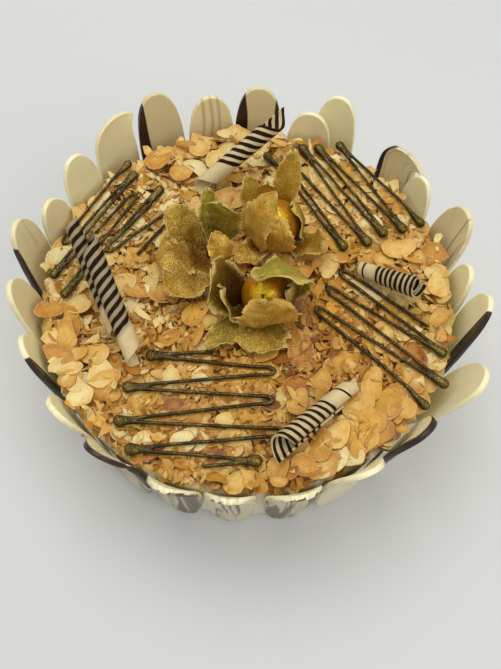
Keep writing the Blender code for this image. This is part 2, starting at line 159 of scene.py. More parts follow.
def turned(vector, axis, degrees):
    # vector, or rows of vectors, turned about a unit axis
    angle = math.radians(degrees)
    vector = np.asarray(vector, float)
    return (vector * math.cos(angle) + np.cross(axis, vector) * math.sin(angle)
            + np.multiply.outer(vector @ axis, axis) * (1.0 - math.cos(angle)))


def softNoise(points, scale, seed=0.0):
    # gradient noise, about -1 to 1, at points in millimetres; scale is the size of its lumps
    offset = Vector((seed * 13.7, seed * 7.3, seed * 3.1))
    return np.array([noise.noise(Vector(point) / scale + offset) for point in np.asarray(points, float)])


# Small tools for materials

def colour(red, green, blue):
    linear = []
    for part in (red, green, blue):
        part = part / 255.0
        linear.append(part / 12.92 if part <= 0.04045 else ((part + 0.055) / 1.055) ** 2.4)
    return (*linear, 1.0)


class Wire:
    # An output of a node. Reckoning with it adds math nodes to the same tree.

    def __init__(self, web, socket):
        self.web, self.socket = web, socket

    def reckon(self, operation, *values, clamp=False):
        return self.web.add("ShaderNodeMath", dict(enumerate(values)), operation=operation, use_clamp=clamp)

    def __add__(self, other):
        return self.reckon("ADD", self, other)

    def __radd__(self, other):
        return self.reckon("ADD", other, self)

    def __sub__(self, other):
        return self.reckon("SUBTRACT", self, other)

    def __rsub__(self, other):
        return self.reckon("SUBTRACT", other, self)

    def __mul__(self, other):
        return self.reckon("MULTIPLY", self, other)

    def __truediv__(self, other):
        return self.reckon("DIVIDE", self, other)

    def __gt__(self, other):
        return self.reckon("GREATER_THAN", self, other)

    def __abs__(self):
        return self.reckon("ABSOLUTE", self)

    def clamped(self):
        return self.reckon("ADD", self, 0.0, clamp=True)

    def part(self, index):
        return self.web.add("ShaderNodeSeparateXYZ", {"Vector": self}, index)

    def fade(self, low, high):
        # 0 below low, 1 above high, smooth between
        return self.web.add("ShaderNodeMapRange", {"Value": self, "From Min": low, "From Max": high},
                            "Result", interpolation_type="SMOOTHSTEP")


def largest(first, *others):
    for other in others:
        first = first.reckon("MAXIMUM", first, other)
    return first


class Web:
    # A tree of nodes, for a material or for Geometry Nodes.

    def __init__(self, tree):
        self.tree = tree

    def add(self, kind, inputs=None, output=0, **settings):
        made = self.tree.nodes.new(kind)
        for key, value in settings.items():
            setattr(made, key, value)
        for key, value in (inputs or {}).items():
            if isinstance(value, Wire):
                self.tree.links.new(value.socket, made.inputs[key])
            else:
                made.inputs[key].default_value = value
        return Wire(self, made.outputs[output])


class Paint(Web):
    # A material whose colour is laid on in coats. Surface holds values of the shader's sockets.

    def __init__(self, name, surface, tint=None):
        self.material = bpy.data.materials.new(name)
        self.material.use_nodes = True
        super().__init__(self.material.node_tree)
        self.shader = self.tree.nodes["Principled BSDF"]
        for key, value in surface.items():
            self.shader.inputs[key].default_value = value
        self.place = self.add("ShaderNodeTexCoord", output="Object")
        self.coats = colour(*tint) if tint else None

    def attributes(self, *names):
        return [self.add("ShaderNodeAttribute", output="Fac", attribute_name=name) for name in names]

    def uv(self):
        return self.add("ShaderNodeUVMap", uv_map="UVMap")

    def vectors(self, operation, first, second=(0.0, 0.0, 0.0), output=0):
        return self.add("ShaderNodeVectorMath", {0: first, 1: second}, output, operation=operation)

    def noise(self, size, detail=2.0, roughness=0.5):
        # noise whose lumps are about size millimetres wide
        return self.add("ShaderNodeTexNoise", {"Vector": self.place, "Scale": 1.0 / (size * mm),
                                               "Detail": detail, "Roughness": roughness}, "Fac")

    def away(self, spot, reach):
        # distance from a spot, as a multiple of reach
        spot = tuple(value * mm for value in spot)
        return self.vectors("DISTANCE", self.place, spot, "Value") / (reach * mm)

    def flecks(self, size, share):
        # bright grains of dust: 1 on a grain, 0 between; share is how much of the surface they cover
        cells = self.add("ShaderNodeTexVoronoi", {"Vector": self.place, "Scale": 1.0 / (size * mm)}, "Color")
        pick = self.add("ShaderNodeSeparateColor", {"Color": cells})
        return pick.reckon("LESS_THAN", pick, share)

    def ramp(self, value, stops):
        made = self.tree.nodes.new("ShaderNodeValToRGB")
        self.tree.links.new(value.socket, made.inputs["Fac"])
        elements = made.color_ramp.elements
        while len(elements) < len(stops):
            elements.new(0.5)
        for element, (place, tint) in zip(elements, stops):
            element.position, element.color = place, colour(*tint)
        self.coats = Wire(self, made.outputs["Color"])

    def coat(self, share, tint):
        # a tint over the coats so far, where share is 1
        self.coats = self.add("ShaderNodeMix", {0: share, 6: self.coats, 7: colour(*tint)}, 2,
                              data_type="RGBA")

    def finish(self, bump=None, metal=None):
        # bump: height, distance in millimetres and strength
        ends = {"Base Color": self.coats, "Metallic": metal}
        if bump:
            height, distance, strength = bump
            ends["Normal"] = self.add("ShaderNodeBump", {"Height": height, "Distance": distance * mm,
                                                         "Strength": strength}, "Normal")
        for key, wire in ends.items():
            if wire:
                self.tree.links.new(wire.socket, self.shader.inputs[key])
        return self.material


# Light, floor and camera, set to the photograph's frame

studio = {"worldColour": (0.93, 0.96, 1.0, 1.0), "worldLight": 0.62, "lampColour": (1.0, 0.97, 0.92),
          "lampSize": 0.8, "floorSize": 3000.0, "floorRoughness": 0.7, "cloudSize": 350.0,
          "floorColour": (214, 214, 212), "floorShade": (209.17, 209.17, 207.22)}
# place in metres and power in watts
lamps = {"keyLight": ((-0.16, 0.26, 1.15), 6.2), "fillLight": ((0.7, -0.5, 0.9), 3.4)}
view = {"place": (2.0, -157.0, 328.9), "elevation": 63.7, "roll": 2.0, "focalPixels": 760.0,
        "frameHeight": 669.0, "sensor": 36.0, "nearest": 10.0}


def makeStudio():
    world = bpy.data.worlds.new("studioWorld")
    bpy.context.scene.world = world
    world.use_nodes = True
    sky = world.node_tree.nodes["Background"].inputs
    sky["Color"].default_value, sky["Strength"].default_value = studio["worldColour"], studio["worldLight"]
    for name, (place, power) in lamps.items():
        lamp = bpy.data.lights.new(name, "AREA")
        lamp.size, lamp.energy, lamp.color = studio["lampSize"], power, studio["lampColour"]
        obj = bpy.data.objects.new(name, lamp)
        obj.location = place
        obj.rotation_euler = (-Vector(place)).to_track_quat("-Z", "Y").to_euler()
        bpy.context.scene.collection.objects.link(obj)
    paint = Paint("paleFloor", {"Roughness": studio["floorRoughness"]}, studio["floorColour"])
    paint.coat(paint.noise(studio["cloudSize"]), studio["floorShade"])
    half = studio["floorSize"] / 2.0
    floor = meshPiece("floor", [(-half, -half, 0), (half, -half, 0), (half, half, 0), (-half, half, 0)],
                      [(0, 1, 2, 3)], paint.finish(), smooth=False)


def makeCamera():
    camera = bpy.data.cameras.new("photoCamera")
    camera.sensor_width = view["sensor"]
    camera.sensor_fit = "AUTO"
    camera.lens = view["focalPixels"] * view["sensor"] / view["frameHeight"]
    camera.clip_start = view["nearest"] * mm
    obj = bpy.data.objects.new("photoCamera", camera)
    elevation, roll = math.radians(view["elevation"]), math.radians(view["roll"])
    back = Vector((0.0, -math.cos(elevation), math.sin(elevation)))
    side = Vector((1.0, 0.0, 0.0))
    above = Vector((0.0, math.sin(elevation), math.cos(elevation)))
    right = side * math.cos(roll) + above * math.sin(roll)
    up = above * math.cos(roll) - side * math.sin(roll)
    place = Vector(view["place"]) * mm
    obj.matrix_world = Matrix(((right.x, up.x, back.x, place.x), (right.y, up.y, back.y, place.y),
                               (right.z, up.z, back.z, place.z), (0.0, 0.0, 0.0, 1.0)))
    bpy.context.scene.collection.objects.link(obj)
    bpy.context.scene.camera = obj


bpy.context.scene.view_settings.view_transform = "Standard"
makeStudio()
makeCamera()
print("studio, floor and camera are set")


# Cream body: the coat of cream that shows between the ovals and under the flakes

cake = {"top": 49.0, "dome": 2.5, "radius": 85.3}       # of the solid
# the brown tint of the top, with its radius and height, is painted shade for the gaps between the flakes
cream = {"footRadius": 81.3, "rimRadius": 85.0, "rimHeight": 48.8, "rimRound": 3.0, "domeRise": 2.3,
         "footRound": 1.2, "wave": 0.35, "waveSize": 9.0, "sides": 180, "steps": 24, "roundSteps": 8,
         "footSteps": 4, "colour": (240, 234, 214), "shade": (226, 212, 180), "gapShade": (188, 126, 46),
         "gapShadeRadius": (84.0, 82.0), "gapShadeHeight": (46.0, 47.0),
         "surface": {"Roughness": 0.55, "Subsurface Weight": 0.25, "Subsurface Scale": 1.0,
                     "Subsurface Radius": (0.004, 0.003, 0.002)}}


def coreTop(radius):
    return cake["top"] + cake["dome"] * (1.0 - min(radius / cake["radius"], 1.0) ** 2)


def creamMaterial():
    paint = Paint("whippedCream", cream["surface"], cream["colour"])
    lumps = paint.noise(6.0, 4.0, 0.6)
    paint.coat(lumps, cream["shade"])
    # painted warm shade: the top under the flakes is tinted brown, so the gaps between them look shaded
    flat = paint.vectors("MULTIPLY", paint.place, (1.0, 1.0, 0.0))
    reach = paint.vectors("LENGTH", flat, output="Value") / mm
    height = paint.place.part(2) / mm
    bare = paint.noise(16.0, 1.0).fade(0.62, 0.68)
    gapShade = reach.fade(*cream["gapShadeRadius"]) * height.fade(*cream["gapShadeHeight"])
    paint.coat(gapShade * (1.0 - bare), cream["gapShade"])
    return paint.finish((lumps, 0.8, 0.6))


def creamProfile():
    # radius and height, from the middle of the top over the rim to the underside
    flat, rimRound, footRound = cream["rimRadius"] - cream["rimRound"], cream["rimRound"], cream["footRound"]
    profile = []
    for step in range(cream["steps"] + 1):
        radius = flat * step / cream["steps"]
        profile.append((radius, cream["rimHeight"] + cream["domeRise"] * (1 - (radius / cake["radius"]) ** 2)))
    edge = profile[-1][1] - rimRound
    for step in range(1, cream["roundSteps"] + 1):
        turn = math.radians(90.0 - 90.0 * step / cream["roundSteps"])
        profile.append((flat + rimRound * math.cos(turn), edge + rimRound * math.sin(turn)))
    for step in range(1, cream["steps"] + 1):
        part = step / cream["steps"]
        profile.append((cream["rimRadius"] + (cream["footRadius"] - cream["rimRadius"]) * part,
                        edge + (footRound - edge) * part))
    for step in range(1, cream["footSteps"] + 1):
        turn = math.radians(90.0 * step / cream["footSteps"])
        profile.append((cream["footRadius"] - footRound * (1 - math.cos(turn)),
                        footRound * (1 - math.sin(turn))))
    return profile


def makeCream():
    profile = creamProfile()
    flat = cream["rimRadius"] - cream["rimRound"]
    vertices = [(0.0, 0.0, profile[0][1])]
    for radius, height in profile[1:]:
        for angle in roundAngles(cream["sides"]):
            place = Vector((radius * math.cos(angle), radius * math.sin(angle), height))
            dent = cream["wave"] * (noise.noise(place / cream["waveSize"]) - 0.6)
            dent = dent if height > cream["footRound"] else 0.0
            reach = radius + (dent if radius > flat * 0.5 else 0.0)
            vertices.append((reach * math.cos(angle), reach * math.sin(angle),
                             height + (dent if radius < flat else 0.0)))
    vertices.append((0.0, 0.0, 0.0))
    body = meshPiece("creamBody", vertices, poleFaces(len(profile) - 1, cream["sides"]), creamMaterial())
    recalcNormals(body)
    body.data.shade_smooth()
    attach(body, "root")
    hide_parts("cake")


makeCream()
print("cream body is made")


# Toasted almond flakes, laid one on another over the top of the cake

almonds = {
    "seed": 11,
    "counts": {"whole": 290, "broken": 1850, "crumb": 1300},
    "rimCount": 120, "rimReach": 81.5, "lastCrumbs": 900,
    "models": {"whole": 9, "broken": 12, "crumb": 9},
    "sides": {"whole": 18, "broken": 12, "crumb": 7},
    "cuts": {"whole": 2, "broken": 4, "crumb": 2},
    "ragged": {"whole": 0.018, "broken": 0.045, "crumb": 0.06},
    "sizes": {"whole": (0.7, 1.05), "broken": (0.38, 0.86), "crumb": (0.15, 0.36)},
    "length": 15.5, "width": 10.4, "taper": 0.3,
    "thickness": {"whole": 0.55, "broken": 0.8, "crumb": 1.9},   # scaled with the flake
    "cup": {"whole": 1.5, "broken": 1.8, "crumb": 1.8},
    "cell": 0.5,                # of the height map that the flakes are laid on
    "looseTilt": 22.0,          # how far a flake's tilt strays from what it lies on
    "steepest": 52.0,
    "settle": {"whole": 92, "broken": 86, "crumb": 75},   # share of a flake above the heap, in percent
    "clearance": 0.3,           # under the chocolate and husks
    "topLimit": 56.5,
    "palette": ((0.0, (248, 228, 168)), (0.3, (234, 193, 110)), (0.55, (206, 148, 54)),
                (0.8, (176, 112, 30)), (1.0, (128, 72, 10))),
    "dustPatches": ((-38, -52, 7), (-32, -60, 6), (4, -35, 11), (34, -8, 11), (-46, 15, 8), (-8, 33, 8),
                    (20, 50, 11), (44, -60, 10), (-60, -30, 8), (2, -57, 7), (40, 62, 8), (42, 22, 11),
                    (54, -44, 7), (-22, -12, 8), (62, 30, 8)),
    "dustHeight": 54.0,
    "mapHalf": 96.0, "mapEdge": 84.3, "edgeFall": 2.2, "mapSink": 0.2,      # the height map
    "wallRows": 5, "wallStart": 50.0, "wallStep": 3.0, "openWall": 91.0,    # heights where the ovals are met
    "trials": 4, "tooShort": -1.5, "stepIn": 1.5, "bed": 0.1,               # when a flake doesn't fit
    "toasted": 0.09, "pale": 0.12, "skinned": 0.12,                         # shares of odd ones
    # where the top is darker, partly toasted more and partly painted shadow of the husks: amount, x, y and
    # reach
    "toastAndShadowSpots": ((0.36, 14.0, -8.0, 50.0), (0.22, -12.0, -48.0, 46.0), (0.35, 24.0, -5.0, 20.0),
                   (0.16, 46.0, -30.0, 34.0)),
    # the pale rim colour is a painted highlight on the flakes' edges; skin, dust and gold are their own
    # colours
    "rimHighlight": (246, 218, 156), "skin": (126, 70, 26), "dust": (196, 132, 40), "gold": (214, 166, 62),
    "surface": {"Roughness": 0.46, "Specular IOR Level": 0.4, "Subsurface Weight": 0.25,
                "Subsurface Scale": 1.0, "Subsurface Radius": (0.0022, 0.0015, 0.0006)},
}
# Flakes that stand out: x, y, size, spin, azimuth to which it slopes down, slope and toast
almondRows = (
    (-55.8, -41.7, 1.08, -42.9, 230.0, 16.0, 0.16), (-52.7, -58.8, 1.05, -31.7, 200.0, 20.0, 0.5),
    (-45.5, -64.8, 1.1, 15.4, 280.0, 12.0, 0.06), (-17.2, -65.3, 0.95, 24.0, 250.0, 10.0, 0.05),
    (-38.2, -52.2, 0.9, -22.7, 300.0, 8.0, 0.45), (-22.8, -26.3, 1.08, 0.0, 270.0, 14.0, 0.2),
    (-20.5, -13.1, 0.85, 56.8, 300.0, 20.0, 0.4), (-27.4, -78.0, 1.0, -17.4, 255.0, 50.0, 0.62),
    (-2.6, -69.5, 0.8, -32.5, 60.0, 24.0, 0.55), (2.6, -57.4, 0.85, -31.0, 250.0, 18.0, 0.5),
    (49.5, -57.0, 1.05, 65.1, 152.0, 42.0, 0.5), (43.9, -60.0, 0.95, 66.2, 150.0, 46.0, 0.62),
    (56.8, -49.4, 0.95, 52.9, 148.0, 40.0, 0.5), (59.5, -59.5, 1.15, -26.7, 310.0, 20.0, 0.0),
    (38.5, -70.0, 0.98, -11.0, 300.0, 40.0, 0.55), (36.4, -62.3, 0.9, 58.0, 155.0, 48.0, 0.25),
    (47.0, -66.0, 0.95, 62.0, 146.0, 44.0, 0.42), (52.5, -63.0, 1.0, 55.0, 150.0, 44.0, 0.6),
    (30.0, -67.0, 0.9, 66.0, 160.0, 44.0, 0.5), (62.0, -51.0, 0.95, 45.0, 140.0, 42.0, 0.4),
    (43.0, -72.0, 0.85, 60.0, 150.0, 42.0, 0.1), (32.0, -73.0, 0.9, 70.0, 190.0, 45.0, 0.5),
    (-21.3, -66.5, 0.8, 20.0, 270.0, 8.0, 0.02), (0.3, -55.7, 0.8, -10.0, 250.0, 14.0, 0.45),
    (-6.2, -57.5, 0.6, 30.0, 280.0, 10.0, 0.25), (16.4, -55.1, 0.75, 60.0, 200.0, 18.0, 0.35),
    (-30.7, -43.9, 0.75, 15.0, 270.0, 8.0, 0.3), (-15.2, -40.4, 0.7, -20.0, 270.0, 8.0, 0.12),
    (-12.7, -51.6, 0.65, 40.0, 270.0, 8.0, 0.5), (-34.5, -66.6, 0.9, 10.0, 270.0, 10.0, 0.05),
    (-0.5, -65.3, 0.7, -40.0, 270.0, 12.0, 0.3), (-9.5, -74.2, 0.8, 30.0, 265.0, 28.0, 0.35),
    (-1.2, -47.0, 0.7, 10.0, 270.0, 10.0, 0.2), (-21.6, -33.7, 0.6, 50.0, 270.0, 8.0, 0.15),
    (22.1, -26.8, 0.8, 60.0, 200.0, 20.0, 0.6), (30.0, -39.5, 0.8, 100.0, 220.0, 22.0, 0.55),
    (7.4, -48.8, 0.75, -15.0, 260.0, 12.0, 0.4), (10.0, -36.0, 0.7, 40.0, 250.0, 18.0, 0.6),
    (21.3, -49.5, 0.8, 69.2, 200.0, 18.0, 0.5), (67.6, -53.4, 0.9, 22.9, 60.0, 12.0, 0.4),
    (79.0, -17.6, 0.85, 41.0, 350.0, 12.0, 0.1), (24.3, -75.9, 0.8, -39.4, 240.0, 44.0, 0.55),
    (14.5, -76.0, 0.7, 60.0, 200.0, 40.0, 0.5), (-62.0, -50.0, 0.9, 60.0, 210.0, 26.0, 0.1),
    (-30.0, 58.0, 0.9, 20.0, 100.0, 14.0, 0.5), (-42.0, 66.0, 1.0, 60.0, 130.0, 18.0, 0.55),
    (-14.0, 66.0, 0.95, 10.0, 250.0, 24.0, 0.25), (-50.0, 0.0, 0.9, 30.0, 270.0, 14.0, 0.3),
    (-36.0, 8.0, 0.85, 80.0, 200.0, 18.0, 0.35), (64.0, 22.0, 1.0, 15.0, 80.0, 20.0, 0.3),
    (52.0, 16.0, 0.9, 120.0, 300.0, 16.0, 0.5), (-72.0, -24.0, 1.0, 100.0, 180.0, 16.0, 0.4),
    (-76.0, 36.0, 0.95, 70.0, 160.0, 24.0, 0.55), (80.0, 5.0, 0.9, 80.0, 350.0, 20.0, 0.25))


def almondMaterial():
    paint = Paint("toastedAlmond", almonds["surface"])
    tone, rim, skin = paint.attributes("tone", "rim", "skin")
    broad, fine = paint.noise(4.5, 3.0, 0.55), paint.noise(0.8, 3.0, 0.65)
    toast = (broad - 0.5) * 0.5 + tone + (fine - 0.5) * 0.42 + rim.fade(0.4, 0.85) * 0.1
    paint.ramp(toast.clamped(), almonds["palette"])
    # painted highlight: the outermost edge of each flake is lightened as if catching the light
    paint.coat(rim.fade(0.84, 1.0) * 0.15, almonds["rimHighlight"])
    paint.coat(rim.fade(0.9, 0.99) * skin, almonds["skin"])
    dust = largest(*(paint.away((x, y, almonds["dustHeight"]), reach).fade(1.3, 0.2)
                     for x, y, reach in almonds["dustPatches"]))
    loose = paint.noise(14.0, 2.0).fade(0.42, 0.75)
    flecks = paint.flecks(0.3, dust * 0.55 + loose * 0.2)
    paint.coat(dust * 0.4, almonds["dust"])
    paint.coat(flecks * 0.7, almonds["gold"])
    return paint.finish((fine + broad * 1.2, 0.35, 0.6), flecks * 0.5)


def flakeOutline(kind, draw):
    # outline of a flake of unit half length, narrower at one end, jagged where it is broken
    sides = almonds["sides"][kind]
    points = []
    for step in range(sides):
        angle = 2.0 * math.pi * (step + draw.uniform(-0.22, 0.22)) / sides
        x = math.cos(angle)
        y = math.sin(angle) * (1.0 - almonds["taper"] * x) * almonds["width"] / almonds["length"]
        wobble = 1.0 + draw.uniform(-1.0, 1.0) * almonds["ragged"][kind]
        points.append([x * wobble, y * wobble])
    points = np.array(points)
    for _ in range(almonds["cuts"][kind]):
        angle = draw.uniform(0.0, 2.0 * math.pi)
        normal = np.array([math.cos(angle), math.sin(angle)])
        limit = draw.uniform(0.35, 0.95) if kind == "whole" else draw.uniform(0.02, 0.4)
        reach = (points - points.mean(axis=0)) @ normal
        over = np.maximum(reach - limit, 0.0)
        jag = 1.0 + draw.uniform(-4.0, 3.0, len(points)) * almonds["ragged"][kind]
        points -= np.outer(over * jag, normal)
    return points


def insideOf(outline, points):
    inside = np.zeros(len(points), bool)
    for first, second in zip(outline, np.roll(outline, -1, axis=0)):
        crosses = (first[1] > points[:, 1]) != (second[1] > points[:, 1])
        rise = second[1] - first[1] if second[1] != first[1] else 1e-9
        where = first[0] + (points[:, 1] - first[1]) / rise * (second[0] - first[0])
        inside ^= crosses & (points[:, 0] < where)
    return inside


def makeFlake(name, kind, draw, collection):
    # one model of a flake, and the points of its middle face by which it is laid
    sides = almonds["sides"][kind]
    outline = flakeOutline(kind, draw)
    half = almonds["length"] / 2.0
    thickness = almonds["thickness"][kind]
    middle = outline.mean(axis=0)
    cup = almonds["cup"][kind]
    bend = cup * draw.uniform(-0.5, 1.1), cup * draw.uniform(-0.3, 1.1)
    twist, wave, phase = draw.uniform(-0.9, 0.9), draw.uniform(0.1, 0.45), draw.uniform(0.0, 6.0)

    def lift(x, y):
        return (bend[0] * x * x + bend[1] * 1.4 * y * y + twist * x * y
                + wave * np.sin(4.0 * x + phase) * np.cos(3.0 * y + phase))

    rings = ([0.62] if kind != "crumb" else []) + [1.0]
    vertices, rims = [], []
    for sign in (1.0, -1.0):
        vertices.append((*(middle * half), lift(*middle) + sign * thickness / 2.0))
        rims.append(0.0)
        for ring in rings:
            thick = thickness / 2.0 * (1.0 if ring < 1.0 else 0.6)
            for point in outline:
                spot = middle + (point - middle) * ring
                vertices.append((*(spot * half), lift(*spot) + sign * thick))
                rims.append(ring)
    faces = []
    per = 1 + sides * len(rings)
    for side in range(sides):
        after = (side + 1) % sides
        faces += [(0, 1 + side, 1 + after), (per, per + 1 + after, per + 1 + side)]
        for low in range(1, per - sides, sides):
            high = low + sides
            faces += [(low + side, high + side, high + after, low + after),
                      (per + low + side, per + low + after, per + high + after, per + high + side)]
        outer = per - sides
        faces.append((outer + side, per + outer + side, per + outer + after, outer + after))
    obj = meshPiece(name, vertices, faces)
    addAttribute(obj, "rim", rims)
    obj.data.set_sharp_from_angle(angle=math.radians(60.0))
    bpy.context.scene.collection.objects.unlink(obj)
    collection.objects.link(obj)

    def spread(spacing):
        steps = np.arange(-1.05, 1.0501, spacing)
        grid = np.array([(x, y) for x in steps for y in steps])
        points = np.vstack([grid[insideOf(outline, grid)], outline])
        return np.column_stack([points * half, lift(points[:, 0], points[:, 1])])

    return {"coarse": spread(0.22), "fine": spread(0.055), "thickness": thickness}


def solidsTree(ofOvals):
    # the ovals' solids, or all those above the cake but the ovals, for rays to be cast at
    bm = bmesh.new()
    for name, node in frame["nodes"].items():
        if name != "cake" and name.startswith("oval") == ofOvals:
            bm.from_mesh(node.data)
    tree = BVHTree.FromBMesh(bm)
    bm.free()
    return tree


class Heap:
    # Height map of what lies on the cake, and of the undersides of the chocolate and husks above.

    def __init__(self):
        self.cell, self.half = almonds["cell"], almonds["mapHalf"]
        self.size = int(2 * self.half / self.cell) + 1
        axis = (np.arange(self.size) * self.cell) - self.half
        self.x, self.y = np.meshgrid(axis, axis, indexing="ij")
        radius = np.hypot(self.x, self.y)
        dome = cake["dome"] * np.minimum(radius / cake["radius"], 1.0) ** 2
        self.top = coreTop(0.0) - dome - almonds["mapSink"]
        over = radius > almonds["mapEdge"]
        self.top[over] -= (radius[over] - almonds["mapEdge"]) * almonds["edgeFall"]
        self.roof = self.measureRoof(radius)
        self.walls = self.measureWalls()

    def measureRoof(self, radius):
        tree = solidsTree(False)
        roof = np.full(radius.shape, 1000.0)
        for i, j in zip(*np.nonzero(radius < 90.0)):
            hit = tree.ray_cast(Vector((self.x[i, j] * mm, self.y[i, j] * mm, 0.04)), Vector(rise))
            if hit[0] is not None:
                roof[i, j] = hit[0].z / mm
        wide = roof.copy()
        for di in (-1, 0, 1):
            for dj in (-1, 0, 1):
                wide = np.minimum(wide, np.roll(np.roll(roof, di, 0), dj, 1))
        return wide

    def measureWalls(self):
        # inner faces of the ovals: distance from the axis by half degrees, at a few heights
        tree = solidsTree(True)
        walls = np.zeros((almonds["wallRows"], 720))
        for row, column in np.ndindex(*walls.shape):
            height = almonds["wallStart"] + almonds["wallStep"] * row
            way = Vector(azimuthFrame(column / 2.0)[0])
            hit = tree.ray_cast(Vector((0, 0, height * mm)) + way * 0.06, way)
            walls[row, column] = 60.0 + hit[3] / mm if hit[0] is not None else almonds["openWall"]
        return np.minimum(walls, np.minimum(np.roll(walls, 3, 1), np.roll(walls, -3, 1)))

    def cells(self, points):
        return [np.clip(np.rint((points[:, axis] + self.half) / self.cell).astype(int), 0, self.size - 1)
                for axis in (0, 1)]

    def wallAt(self, points):
        column = np.rint(np.degrees(np.arctan2(points[:, 1], points[:, 0])) * 2.0).astype(int) % 720
        row = np.rint((points[:, 2] - almonds["wallStart"]) / almonds["wallStep"]).astype(int)
        return self.walls[np.clip(row, 0, almonds["wallRows"] - 1), column]

    def fits(self, points):
        reach = np.hypot(points[:, 0], points[:, 1])
        return np.all(reach < self.wallAt(points) - 0.4)


def turnTo(normal, spin):
    normal = normal / np.linalg.norm(normal)
    ahead = np.array([math.cos(spin), math.sin(spin), 0.0])
    ahead -= normal * (ahead @ normal)
    ahead /= np.linalg.norm(ahead)
    return np.stack([ahead, np.cross(normal, ahead), normal], axis=1)


def slopeMet(heap, coarse, spot, spin, draw):
    # normal of the heap under a flake, a little astray and never too steep
    cosine, sine = math.cos(spin), math.sin(spin)
    under = np.column_stack([coarse[:, 0] * cosine - coarse[:, 1] * sine + spot[0],
                             coarse[:, 0] * sine + coarse[:, 1] * cosine + spot[1]])
    i, j = heap.cells(under)
    plane = np.column_stack([under - under.mean(axis=0), np.ones(len(under))])
    slope = np.linalg.lstsq(plane, heap.top[i, j], rcond=None)[0]
    stray, steepest = [math.tan(math.radians(almonds[key])) for key in ("looseTilt", "steepest")]
    normal = np.array([-slope[0] + draw.normal(0.0, stray), -slope[1] + draw.normal(0.0, stray), 1.0])
    lean = math.hypot(normal[0], normal[1])
    if lean > steepest:
        normal[:2] *= steepest / lean
    return normal


def layFlake(heap, spot, kind, model, share, draw, normal=None, spin=None):
    # The flake comes down on the heap, takes the slope it meets, and settles.
    spin = draw.uniform(0.0, 2.0 * math.pi) if spin is None else spin
    coarse = model["coarse"] * share
    halfThick = model["thickness"] * share / 2.0
    if normal is None:
        normal = slopeMet(heap, coarse, spot, spin, draw)
    for trial in range(almonds["trials"]):
        frameOf = turnTo(normal, spin)
        body = coarse @ frameOf.T
        points = body + np.array([spot[0], spot[1], 0.0])
        i, j = heap.cells(points)
        settled = np.percentile(heap.top[i, j] - body[:, 2], almonds["settle"][kind])
        height = settled + halfThick - almonds["bed"]
        points[:, 2] += height
        room = heap.roof[i, j] - almonds["clearance"] - halfThick - points[:, 2]
        short = min(room.min(), almonds["topLimit"] - points[:, 2].max())
        if short < 0.0:
            if short < almonds["tooShort"] and trial < almonds["trials"] - 1:
                normal = np.array([normal[0] * 0.4, normal[1] * 0.4, 1.0])
                continue
            height += short
            points[:, 2] += short
        if heap.fits(points):
            break
        inward = -np.array(spot) / max(np.hypot(*spot), 1e-6)
        spot = np.array(spot) + inward * almonds["stepIn"]
    else:
        return None
    dense = (model["fine"] * share) @ frameOf.T + np.array([spot[0], spot[1], height + halfThick])
    i, j = heap.cells(dense)
    np.maximum.at(heap.top, (i, j), dense[:, 2])
    return np.array([spot[0], spot[1], height]), frameOf


def chooseSpot(heap, draw, radius, tries):
    # of a few spots, the one where the heap is lowest
    best, lowest = None, 1e9
    for _ in range(tries):
        reach = radius * math.sqrt(draw.uniform(0.0, 1.0))
        angle = draw.uniform(0.0, 2.0 * math.pi)
        spot = np.array([reach * math.cos(angle), reach * math.sin(angle)])
        i, j = heap.cells(spot[None])
        level = heap.top[i[0], j[0]] - coreTop(reach)
        if level < lowest:
            best, lowest = spot, level
    return best


def layAllFlakes(models):
    # place, turn, share of full size, tone, skin and model of every flake, by kind
    draw = np.random.default_rng(almonds["seed"])
    heap = Heap()
    print("height map of the top is measured")
    laid = {"whole": [], "broken": [], "crumb": []}

    def lay(kind, spot, share=None, toast=None, **how):
        pick = int(draw.integers(len(models[kind])))
        share = draw.uniform(*almonds["sizes"][kind]) if share is None else share
        result = layFlake(heap, spot, kind, models[kind][pick], share, draw, **how)
        if result is None:
            return
        place, frameOf = result
        tone = float(np.clip(draw.normal(0.33, 0.15), 0.0, 1.0))
        if draw.uniform() < almonds["toasted"]:
            tone = draw.uniform(0.5, 0.75)
        if draw.uniform() < almonds["pale"]:
            tone = draw.uniform(0.0, 0.12)
        tone += 0.03 * place[0] / 85.0 - 0.04 * place[1] / 85.0
        # darker spots: more toasting, and painted shadow where the husks shade the top
        for amount, x, y, reach in almonds["toastAndShadowSpots"]:
            tone += amount * max(0.0, 1.0 - math.hypot(place[0] - x, place[1] - y) / reach)
        tone = tone if toast is None else toast
        skin = float(draw.uniform() < almonds["skinned"])
        laid[kind].append((place, tuple(Matrix(frameOf.tolist()).to_euler()), share, tone, skin, pick))

    order = [kind for kind, count in almonds["counts"].items() for _ in range(count)]
    draw.shuffle(order)
    for kind in order:
        lay(kind, chooseSpot(heap, draw, 84.0, 4))
    # flakes that lean on the ovals
    for step in range(almonds["rimCount"]):
        angle = 2.0 * math.pi * (step + draw.uniform(-0.4, 0.4)) / almonds["rimCount"]
        reach = almonds["rimReach"] + draw.uniform(-3.0, 2.0)
        lean = math.tan(math.radians(draw.uniform(15.0, 52.0)))
        side = draw.normal(0.0, 0.35)
        normal = np.array([-math.cos(angle) * lean - math.sin(angle) * side,
                           -math.sin(angle) * lean + math.cos(angle) * side, 1.0])
        kind = "whole" if draw.uniform() < 0.35 else "broken"
        spot = np.array([reach * math.cos(angle), reach * math.sin(angle)])
        lay(kind, spot, share=draw.uniform(0.5, 0.95), normal=normal)
    for x, y, share, spin, downhill, slope, toast in almondRows:
        normal = azimuthFrame(downhill)[0] * math.tan(math.radians(slope)) + rise
        lay("whole", np.array([x, y]), share=share, toast=toast, normal=normal, spin=math.radians(spin))
    for _ in range(almonds["lastCrumbs"]):
        lay("crumb", chooseSpot(heap, draw, 84.5, 6))
    return laid


